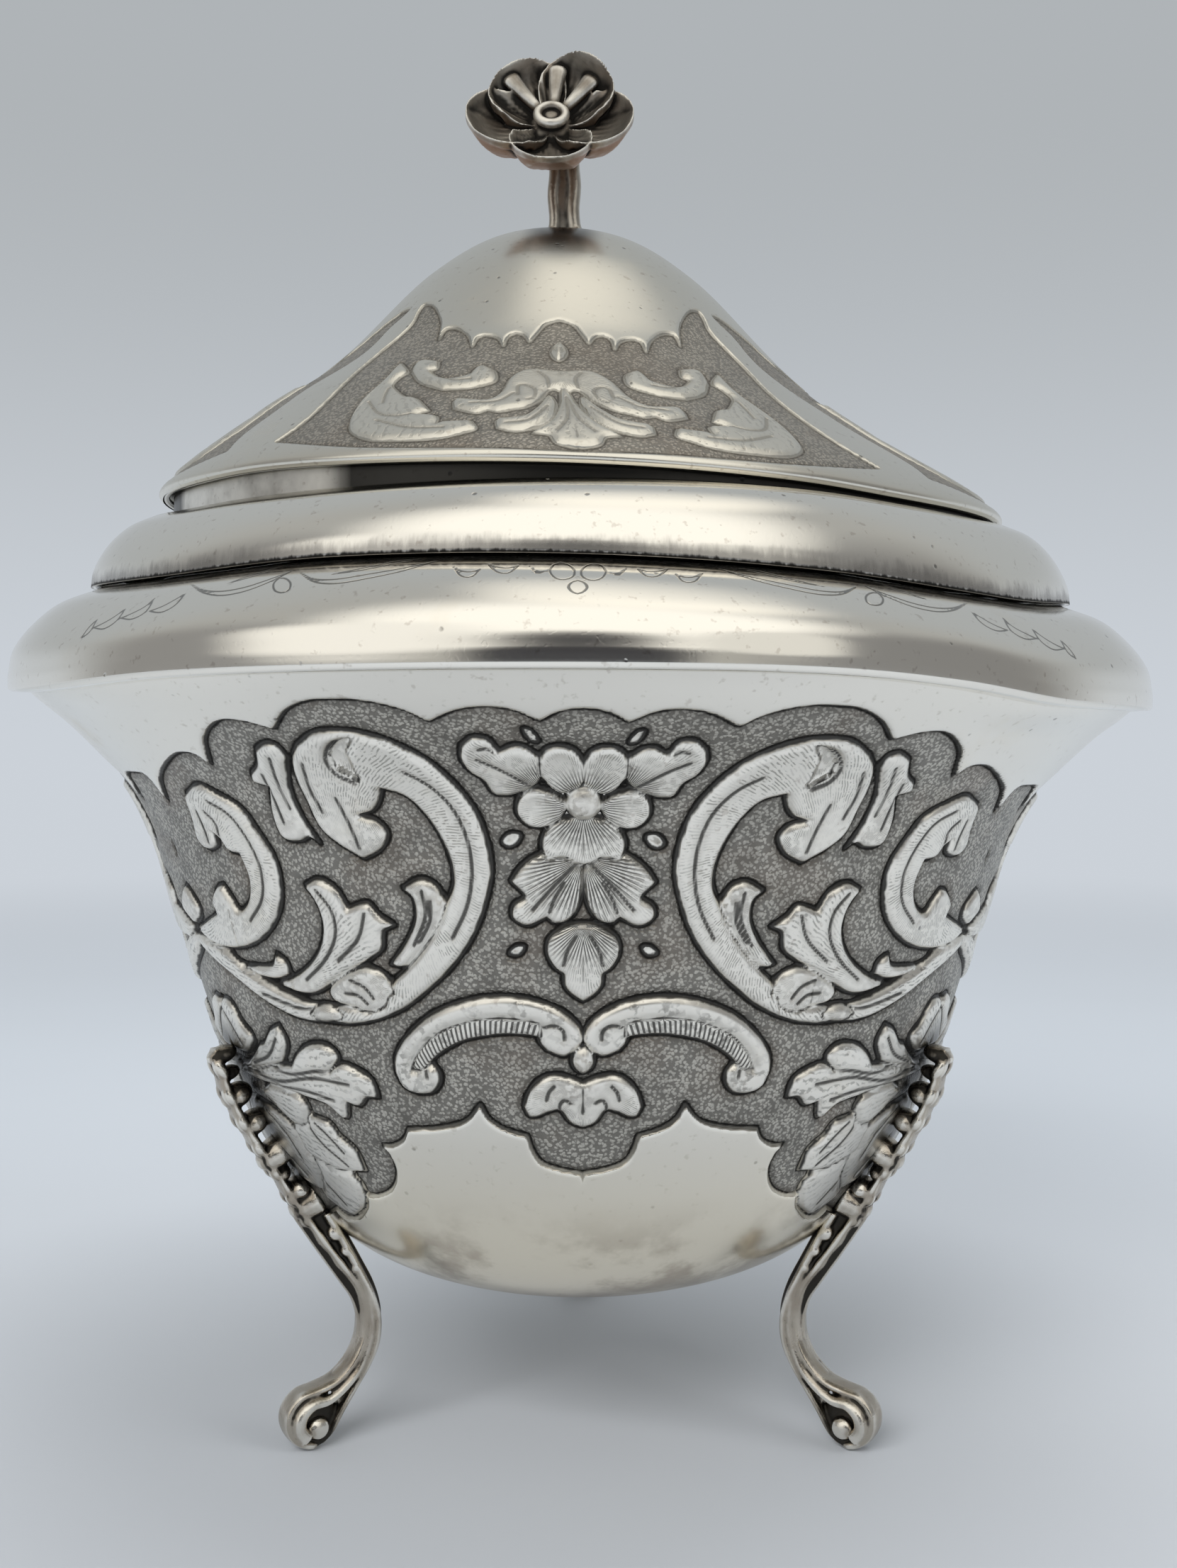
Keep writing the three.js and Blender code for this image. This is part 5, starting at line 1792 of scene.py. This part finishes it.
@dataclass
class Legs:
    """Three cast cabriole legs: a pierced, knobbed strap, a carved shaft and a double-lobed scroll foot.

    Points are pairs of radius from the box's axis and height.
    """

    angles: tuple[float, float, float] = (-30.0, 90.0, 210.0)
    nodes: tuple[str, str, str] = ("leg_front_right", "leg_back", "leg_front_left")
    outer_edge: Stroke = (
        (56.1, 54.9), (54.6, 49.5), (52.0, 44.2), (48.4, 38.6), (44.8, 32.8), (41.4, 27.8), (38.2, 23.4),
        (36.4, 20.9), (35.5, 18.3), (35.3, 15.8), (35.6, 13.6), (36.9, 11.2), (39.0, 9.3), (41.6, 8.5),
        (44.2, 7.9), (46.0, 5.9), (46.2, 3.6), (45.0, 1.4), (42.8, 0.2), (40.6, 0.3),
    )
    inner_edge: Stroke = (
        (39.6, 32.2), (37.4, 28.2), (34.9, 23.4), (33.1, 19.6), (32.2, 16.2), (32.5, 12.9), (33.9, 9.9),
        (35.7, 7.2), (37.6, 4.3), (39.2, 1.7), (40.6, 0.5),
    )
    rib: Stroke = (
        (36.6, 23.8), (34.6, 20.0), (33.9, 16.6), (34.1, 13.6), (35.6, 10.2), (37.9, 7.9), (40.2, 6.6),
        (42.4, 6.4), (44.0, 5.2), (44.3, 3.4), (43.2, 1.9),
    )
    leaf_tips: Sequence[float] = (2.6, 6.4, 10.4, 14.6, 18.8, 23.2, 27.0)
    rail_thickness: float = 1.3
    rail_width: float = 3.8
    ripple_length: float = 4.3
    shaft_width: float = 4.2
    web_half_width: float = 1.1
    spacing: float = 0.5
    skin: float = 0.2

    def rail(self) -> Shell:
        """Returns the outer rail, which runs from the strap's top over the scroll and under it."""
        edge = spaced(smooth_line(self.outer_edge), self.spacing)
        reach = arc_lengths(edge)
        half = self.rail_thickness / 2
        tip = ease(reach, -0.6, 2.0) * ease(reach[-1] - reach, -0.6, 2.0)
        ripple = 1 + 0.14 * np.sin(reach * 2 * math.pi / self.ripple_length) * ease(40.0 - reach, 0, 6)
        sizes = [half * (0.55 + 0.45 * tip) * ripple, self.rail_width / 2 * (0.5 + 0.5 * tip)]
        return Casting.swept(edge + line_normals(edge) * half, np.column_stack(sizes))

    def back_rail(self) -> Shell:
        """Returns the rounded inner side of the shaft."""
        edge = spaced(smooth_line(self.inner_edge), self.spacing)
        reach = arc_lengths(edge)
        thin = 0.85 - 0.3 * ease(reach, 18, 34)
        halves = np.column_stack([thin, self.shaft_width / 2 * (1 - 0.3 * ease(reach, 22, 36))])
        return Casting.swept(edge - line_normals(edge) * thin[:, None], halves, squareness=2.4)

    def web(self, rows: int = 60) -> Shell:
        """Returns the thin core between the rails, which leaves a groove on either side."""
        lines = []
        for stations in (self.outer_edge[4:13], self.inner_edge[:8]):
            edge = spaced(smooth_line(stations), self.spacing)
            reach = arc_lengths(edge)
            lines.append(points_at(edge, reach / reach[-1], np.linspace(0, 1, rows)))
        half = np.linalg.norm(lines[0] - lines[1], axis=1) / 2
        halves = np.column_stack([half, np.full(rows, self.web_half_width)])
        return Casting.swept((lines[0] + lines[1]) / 2, halves)

    def ribs(self) -> list[Shell]:
        """Returns the raised rib on either side of the shaft, which curls round the scroll's eye."""
        line = spaced(smooth_line(self.rib), 0.4)
        reach = arc_lengths(line)
        size = 0.35 + 0.25 * ease(reach, 0, 8) + 0.35 * ease(reach, 18, 26) - 0.2 * ease(reach, 27, 31)
        made = []
        for side in (-1, 1):
            points, faces = Casting.swept(line, np.column_stack([size, size]), sides=12, squareness=2.0)
            points[:, 1] += side * (1.55 + 0.35 * ease(points[:, 2], 12.0, 5.0))
            made.append((points, faces))
        return made

    def knobs(self) -> list[Shell]:
        """Returns the knobs and beads between the strap and the bowl and down the shaft's groove."""
        made = [
            Casting.blob((54.4, 0, 54.2), (2.1, 1.7, 1.2), 0.3),
            Casting.blob((53.6, 0, 51.7), (1.7, 1.5, 1.0), 0.3),
            Casting.blob((52.4, 0, 48.7), (2.2, 2.0, 1.7), 0.4),
            Casting.blob((50.1, 0, 44.9), (2.2, 2.1, 1.7), 0.5),
            Casting.blob((46.9, 0, 40.6), (3.1, 2.6, 2.1), 0.6),
            Casting.blob((46.3, 0, 37.7), (1.3, 1.9, 1.3), 0.6),
            Casting.blob((41.7, 0, 33.7), (3.8, 2.8, 2.4), 0.5),
            Casting.blob((44.0, 0, 35.4), (1.7, 2.6, 1.5), 0.5),
        ]
        for side in (-1, 1):
            made.append(Casting.blob((39.2, side * 1.4, 28.9), (1.0, 0.9, 1.2), 0.6))
            made.append(Casting.blob((37.6, side * 1.4, 26.3), (0.8, 0.8, 0.9), 0.6))
            made.append(Casting.blob((36.2, side * 1.35, 23.8), (0.8, 0.8, 0.9), 0.5))
        return made

    def leaf_bumps(self) -> list[Shell]:
        """Returns small leaf tips along the strap's outside."""
        edge = spaced(smooth_line(self.outer_edge[:6]), 0.2)
        made = []
        for number, (radius, height) in enumerate(points_at(edge, arc_lengths(edge), self.leaf_tips)):
            size = 1.15 - 0.06 * number
            for side in (-1, 1):
                radii = (0.85, 0.95 * size, 1.5 * size)
                made.append(Casting.blob((radius - 0.6, side * 1.1, height), radii, 0.55))
        return made

    def foot(self) -> list[Shell]:
        """Returns the scroll's recessed disc and the ball in its eye."""
        made = [Casting.blob((42.0, 0, 4.2), (3.6, 1.3, 3.6))]
        for side in (-1, 1):
            made.append(Casting.blob((41.6, side * 1.55, 3.0), (1.55, 1.0, 1.5)))
        return made

    def blacken_sides(self, mesh: bpy.types.Mesh) -> None:
        """Deepens the stored hollow on the sunk side faces between the rails, so that they are painted
        darker.
        """
        across = np.abs(MeshMaker.read(mesh.vertices, "co")[:, 1]) / MM
        sideways = np.abs(MeshMaker.read(mesh.vertex_normals, "vector")[:, 1])
        sunk = ease(sideways, 0.35, 0.75) * (1 - ease(across, 1.45, 2.0))
        stored = mesh.attributes["hollow"].data
        values = MeshMaker.read(stored, "value", 1)[:, 0]
        stored.foreach_set("value", (values + 0.32 * sunk).astype(np.float32))

    def stop_in_sheet(self, points: np.ndarray) -> np.ndarray:
        """Keeps the casting from showing inside the box: its inner side ends within the bowl's sheet."""
        outer = smooth_line(Bowl.stations, LINE_STEPS)
        limit = np.interp(points[:, 2], outer[:, 1], outer[:, 0]) - 0.5 * Bowl.sheet
        beside_bowl = points[:, 2] > outer[0, 1] + 8.0
        radius = np.where(beside_bowl, np.maximum(points[:, 0], limit), points[:, 0])
        return np.column_stack([radius, points[:, 1], points[:, 2]])

    def build(self) -> list[bpy.types.Object]:
        """Casts one leg and sets it in its three places."""
        parts = [self.rail(), self.back_rail(), self.web(), *self.ribs(), *self.knobs()]
        parts += [*self.leaf_bumps(), *self.foot()]
        parts = [(self.stop_in_sheet(points), faces) for points, faces in parts]
        legs = []
        for node, angle in zip(self.nodes, self.angles):
            if not legs:
                leg = Casting.fuse(f"{node}_cast", parts, self.skin, rounds=40)
                self.blacken_sides(leg.data)
                turn = angle
            else:
                leg = new_object(f"{node}_cast", legs[0].data.copy())
                turn = angle - self.angles[0]
            leg.data.transform(Matrix.Rotation(math.radians(turn), 4, "Z"))
            legs.append(fit(leg, CAST, "box", node))
        return legs


# Finial


@dataclass(frozen=True)
class Petal:
    """One petal.

    Args:
        angle: Its direction in the flower's plane, in degrees.
        reach: How far it goes from the flower's middle.
        width: How wide it is.
        lift: How far its end stands up.
        hook: How far its tip bends inward.
    """

    angle: float
    reach: float
    width: float
    lift: float
    hook: float = 0.0


@dataclass
class Finial:
    """Cast flower of five cupped petals round a ring boss, on a stalk of two rods with a groove between."""

    petals: Sequence[Petal] = (
        Petal(-90, 11.6, 12.0, 2.2),
        Petal(-17, 12.2, 12.4, 2.0),
        Petal(52, 10.7, 12.0, 4.2, 2.6),
        Petal(128, 10.5, 12.4, 3.0, 2.2),
        Petal(197, 12.6, 12.6, 2.2),
    )
    fingers: Sequence[Pair] = ((46, 9.0), (84, 9.0), (134, 9.4))
    calyx: Stroke = ((0.02, -3.4), (2.2, -3.1), (3.8, -1.9), (4.0, -0.9), (2.3, 0.3), (0.02, 0.6))
    middle: tuple[float, float, float] = (-4.3, -2.6, 185.7)
    tilt: float = 58.0
    petal_root: float = 0.8
    petal_belly: float = 0.52
    boss_radius: float = 2.0
    boss_height: float = 1.7
    boss_wire: float = 0.7
    skin: float = 0.14
    stem_side: float = -2.6
    rod_spacing: float = 2.9
    rod_radius: float = 1.0
    stem_bottom: float = 169.8
    stem_top: float = 182.8
    stem_foot: Stroke = ((0.02, 169.6), (3.0, 169.6), (3.1, 169.9), (2.6, 170.25), (0.02, 170.4))
    stud: Stroke = ((0.02, 165.5), (1.3, 165.5), (1.3, 169.8), (0.02, 169.8))

    def petal(self, shape: Petal, rows: int = 40, sides: int = 33) -> Shell:
        """Returns one petal as a closed form: a cup with a rolled rim, and a bulging back."""
        along = np.sin(np.linspace(0.0, math.pi / 2, rows))[:, None]
        over = np.linspace(-1.0, 1.0, sides)[None, :]
        belly = self.petal_belly
        slope = np.where(along < belly, (belly - along) / belly, (along - belly) / (1.0 - belly))
        half = np.sqrt(np.clip(1 - slope**2, 0, 1)) * shape.width / 2
        half = np.maximum(half, 1.4 * (1 - along))
        reach = self.petal_root + (shape.reach - self.petal_root) * along * np.ones_like(over)
        across = over * half
        rim = np.minimum((1 - np.abs(over)) * half, (1 - along) * shape.reach * 0.7)
        rim = np.where(along < 0.35, rim + (0.35 - along) * 6, rim)
        cup = shape.lift * (reach / 12.0) ** 2 + 0.9 * (across / 6.0) ** 2
        roll = 0.75 * bell(rim, 0, 0.9) - 1.25 * (1 - bell(rim, 0, 2.4))
        hook = shape.hook * ease(along, 0.62, 1.0) ** 2
        radial = 0.1 * np.sin(np.arctan2(across, reach) * 46) * bell(reach, 5.0, 3.0)
        front = np.stack([reach - 0.4 * hook, across, cup + roll + radial + 0.6 * hook + 0.7], -1)
        thick = 1.0 + 1.5 * (1 - bell(rim, 0, 2.2))
        steep_out = np.gradient(front[..., 2], axis=0) / np.maximum(np.gradient(front[..., 0], axis=0), 1e-6)
        steep_side = np.gradient(front[..., 2], axis=1) / np.maximum(np.gradient(across, axis=1), 1e-6)
        steepness = np.minimum(np.sqrt(1 + steep_out**2 + steep_side**2), 2.2)
        steepness[-4:] = steepness[-5]
        back = front.copy()
        back[..., 2] -= thick * steepness
        points, faces = Casting.capped(np.concatenate([front, back[:, ::-1]], 1))
        return rotated(points, math.radians(shape.angle)), faces

    def finger(self, angle: float, reach: float, start: float = 1.6) -> Shell:
        """Returns one ridge that stands up from the boss and widens to a rounded end."""
        along = np.linspace(start, reach, 30)
        share = (along - start) / (reach - start)
        centre = np.column_stack([along, 1.0 + 2.4 * share**1.3])
        width = 0.55 + 1.0 * share**1.2
        end = np.sqrt(np.clip(1 - ((share - 0.86) / 0.14).clip(0, 1) ** 2, 0.02, 1))
        halves = np.column_stack([0.8 * end, width * end])
        points, faces = Casting.swept(centre, halves, sides=14, squareness=2.2)
        return rotated(points, math.radians(angle)), faces

    def boss(self, columns: int = 40) -> list[Shell]:
        """Returns the ring with a hollow middle, its small cushion and the calyx behind the petals."""
        section = round_section((self.boss_radius, self.boss_height), self.boss_wire)
        ring = TurnedSkin(section[::-1], columns).shell(closed_line=True)
        cushion = Casting.blob((0, 0, 0.9), (1.9, 1.9, 0.9))
        return [ring, cushion, TurnedSkin(smooth_line(self.calyx, 8), columns).shell()]

    def flower(self) -> bpy.types.Object:
        """Casts the flower, tilted towards the front, and sets it on its stalk."""
        tilt = math.radians(self.tilt)
        parts = [self.petal(shape) for shape in self.petals]
        parts += [self.finger(angle, reach) for angle, reach in self.fingers]
        parts += self.boss()
        placed = [(rotated(points, tilt, 1, 2) + np.asarray(self.middle), faces) for points, faces in parts]
        flower = Casting.fuse("flower_cast", placed, self.skin, rounds=70)
        facing = MeshMaker.read(flower.data.vertex_normals, "vector")
        away = facing @ np.array((0.0, math.sin(tilt), -math.cos(tilt)))
        MeshMaker.add_layer(flower.data, "back", ease(away, -0.25, 0.35))
        return fit(flower, PETALS, "lid", "finial_flower")

    def stalk(self, rows: int = 50) -> bpy.types.Object:
        """Casts the two rods, the web between them, their flared feet and the stud under them."""
        height = np.linspace(self.stem_bottom, self.stem_top, rows)
        up = height - self.stem_bottom
        flare = 1 + 0.55 * bell(up, 0, 0.9)
        parts = []
        for side, girth in ((-1, 0.8), (1, 1.05)):
            middle = self.stem_side + side * self.rod_spacing / 2
            wave = 0.12 * np.sin(up * 0.9 + side) + side * 0.4 * bell(up, 0, 1.0)
            size = self.rod_radius * girth * flare
            halves = np.column_stack([size, size * 0.95])
            centre = np.column_stack([middle + wave, height])
            parts.append(Casting.swept(centre, halves, sides=20, squareness=2))
        core = np.column_stack([np.full(rows, self.stem_side), height])
        parts.append(Casting.swept(core, np.column_stack([np.full(rows, 1.3), np.full(rows, 0.45)])))
        for line in (smooth_line(self.stem_foot, 6), np.array(self.stud)):
            points, faces = TurnedSkin(line, 36).shell()
            points[:, 0] += self.stem_side
            parts.append((points, faces))
        stalk = Casting.fuse("stalk_cast", parts, self.skin)
        return fit(stalk, STALK, "lid", "finial_stem")

    def build(self) -> list[bpy.types.Object]:
        """Makes the flower and its stalk."""
        return [self.flower(), self.stalk()]


# Studio


@dataclass(frozen=True)
class Patch:
    """A soft patch of the room.

    Args:
        aim: Direction of its middle.
        wide: Angle in degrees from there at which the patch ends.
        narrow: Angle in degrees within which it is full.
        colour: Its colour.
    """

    aim: tuple[float, float, float]
    wide: float
    narrow: float
    colour: Colour


@dataclass(frozen=True)
class Lamp:
    """A rectangular soft lamp that faces the box. Its lengths are in metres."""

    name: str
    place: tuple[float, float, float]
    width: float
    height: float
    power: float


@dataclass(frozen=True)
class Studio:
    """Pale floor, soft lights and a plain background. Its lengths are in metres."""

    floor_radius: float = 2.5
    floor_colour: Colour = (0.52, 0.54, 0.57, 1.0)
    back_colour: Colour = (0.43, 0.455, 0.475, 1.0)
    glow_colour: Colour = (0.60, 0.64, 0.69, 1.0)
    room_low: Colour = (0.46, 0.45, 0.42, 1.0)
    room_high: Colour = (0.42, 0.425, 0.42, 1.0)
    patches: Sequence[Patch] = (
        Patch((0.95, -0.3, 0.1), 50, 15, (0.24, 0.24, 0.24, 1.0)),
        Patch((-0.95, -0.3, 0.1), 50, 15, (0.28, 0.28, 0.28, 1.0)),
        Patch((0.03, -0.6, 0.8), 50, 26, (1.15, 1.13, 1.07, 1.0)),
        Patch((-0.62, -0.62, 0.4), 30, 12, (1.0, 0.985, 0.94, 1.0)),
        Patch((0.55, -0.7, 0.3), 16, 8, (0.80, 0.79, 0.75, 1.0)),
        Patch((0.14, 0.2, 0.97), 22, 8, (1.15, 1.12, 1.04, 1.0)),
        Patch((0.0, -1.0, 0.08), 25, 15, (0.05, 0.05, 0.055, 1.0)),
    )
    lamps: Sequence[Lamp] = (
        Lamp("key_lamp", (-0.35, -0.75, 0.62), 0.7, 0.4, 7.0),
        Lamp("fill_lamp", (0.75, -0.45, 0.35), 0.5, 0.5, 3.0),
        Lamp("top_lamp", (0.1, 0.1, 1.0), 0.8, 0.8, 5.0),
    )
    aim: tuple[float, float, float] = (0.0, 0.0, 0.1)

    def light(self, lamp: Lamp) -> None:
        """Adds a lamp."""
        light = bpy.data.lights.new(lamp.name, "AREA")
        light.shape = "RECTANGLE"
        light.size = lamp.width
        light.size_y = lamp.height
        light.energy = lamp.power
        made = new_object(lamp.name, light)
        made.location = lamp.place
        made.rotation_euler = (Vector(self.aim) - Vector(lamp.place)).to_track_quat("-Z", "Y").to_euler()
        made.visible_glossy = False

    def floor(self) -> None:
        """Makes the floor, with painted light: darker in front of the box and lighter behind it. Far from the
        box it glows and fades into the background.
        """
        turn = full_turn(96)
        rings = np.array([0.0, 0.15, 0.3, 0.6, 1.2, self.floor_radius]) / MM
        points = np.array([(r * math.cos(a), r * math.sin(a), 0.0) for r in rings for a in turn])
        floor = MeshMaker.build("floor", points, MeshMaker.grid_faces(len(rings), len(turn)))
        material = bpy.data.materials.new("floor_paper")
        sheet = NodeSheet.blank(material)
        place = sheet.place()
        # Painted light: the floor goes from darker in front of the box to lighter behind it.
        shade = sheet.mix(place.part(1).ramp(-0.12, 0.3), self.floor_colour, self.glow_colour)
        shade = sheet.mix(sheet.noise(place, 8.0) * 0.15, shade, self.back_colour)
        paper = sheet.get("ShaderNodeBsdfPrincipled", 0, {"Base Color": shade, "Roughness": 0.9})
        glow = sheet.get("ShaderNodeEmission", 0, {"Color": self.glow_colour, "Strength": 1.0})
        away = sheet.vector("LENGTH", "Value", {0: place})
        surface = sheet.blend(away.ramp(0.15, 1.1), paper, glow)
        sheet.add("ShaderNodeOutputMaterial", {"Surface": surface})
        floor.data.materials.append(material)

    def room(self, sheet: NodeSheet, direction: Signal) -> Signal:
        """Returns the colour of the room in front of the box, with its soft patches."""
        room = sheet.mix(direction.part(2).ramp(-0.3, 0.9), self.room_low, self.room_high)
        for patch in self.patches:
            cosine = sheet.vector("DOT_PRODUCT", "Value", {0: direction, 1: Vector(patch.aim).normalized()})
            ends = (math.cos(math.radians(angle)) for angle in (patch.wide, patch.narrow))
            room = sheet.mix(cosine.ramp(*ends), room, patch.colour)
        return room

    def background(self) -> None:
        """Fills the world: a plain grey backdrop behind the box, and a soft warm room in front of it."""
        world = bpy.data.worlds.new("soft_room")
        bpy.context.scene.world = world
        sheet = NodeSheet.blank(world)
        direction = sheet.get("ShaderNodeTexCoord", "Generated")
        wall = sheet.mix(direction.part(2).ramp(-0.02, 0.36), self.glow_colour, self.back_colour)
        room = sheet.mix(direction.part(1).ramp(0.55, 0.05), wall, self.room(sheet, direction))
        rays = sheet.get_all(sheet.add("ShaderNodeLightPath"))
        mirrored = rays["Is Glossy Ray"].larger(rays["Is Transmission Ray"])
        looks = rays["Is Camera Ray"].larger(mirrored)
        plain = sheet.get("ShaderNodeBackground", 0, {"Color": self.back_colour, "Strength": 0.9})
        light = sheet.mix(mirrored, wall, room)
        shown = sheet.get("ShaderNodeBackground", 0, {"Color": light, "Strength": 1.0})
        sheet.add("ShaderNodeOutputWorld", {"Surface": sheet.blend(looks, plain, shown)})

    def build(self) -> None:
        """Sets up the room."""
        self.background()
        self.floor()
        for lamp in self.lamps:
            self.light(lamp)


def main() -> None:
    """Builds the studio and every piece of the box."""
    logging.basicConfig(level=logging.INFO, format="%(message)s")
    bpy.context.scene.view_settings.view_transform = "Standard"
    VIEW.place_camera()
    Studio().build()
    for piece in (Bowl().build(), *Rings().build(), *Lid().build(), *Legs().build(), *Finial().build()):
        LOG.info("%s: %d faces", piece.name, len(piece.data.polygons))
    for name in ("hinge_box_leaf", "hinge_lid_leaf", "finial_washer"):
        CAST.dress(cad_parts[name])
    for name in ("hinge_pin", "finial_nut"):
        STEEL.dress(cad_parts[name])


if __name__ == "__main__":
    main()
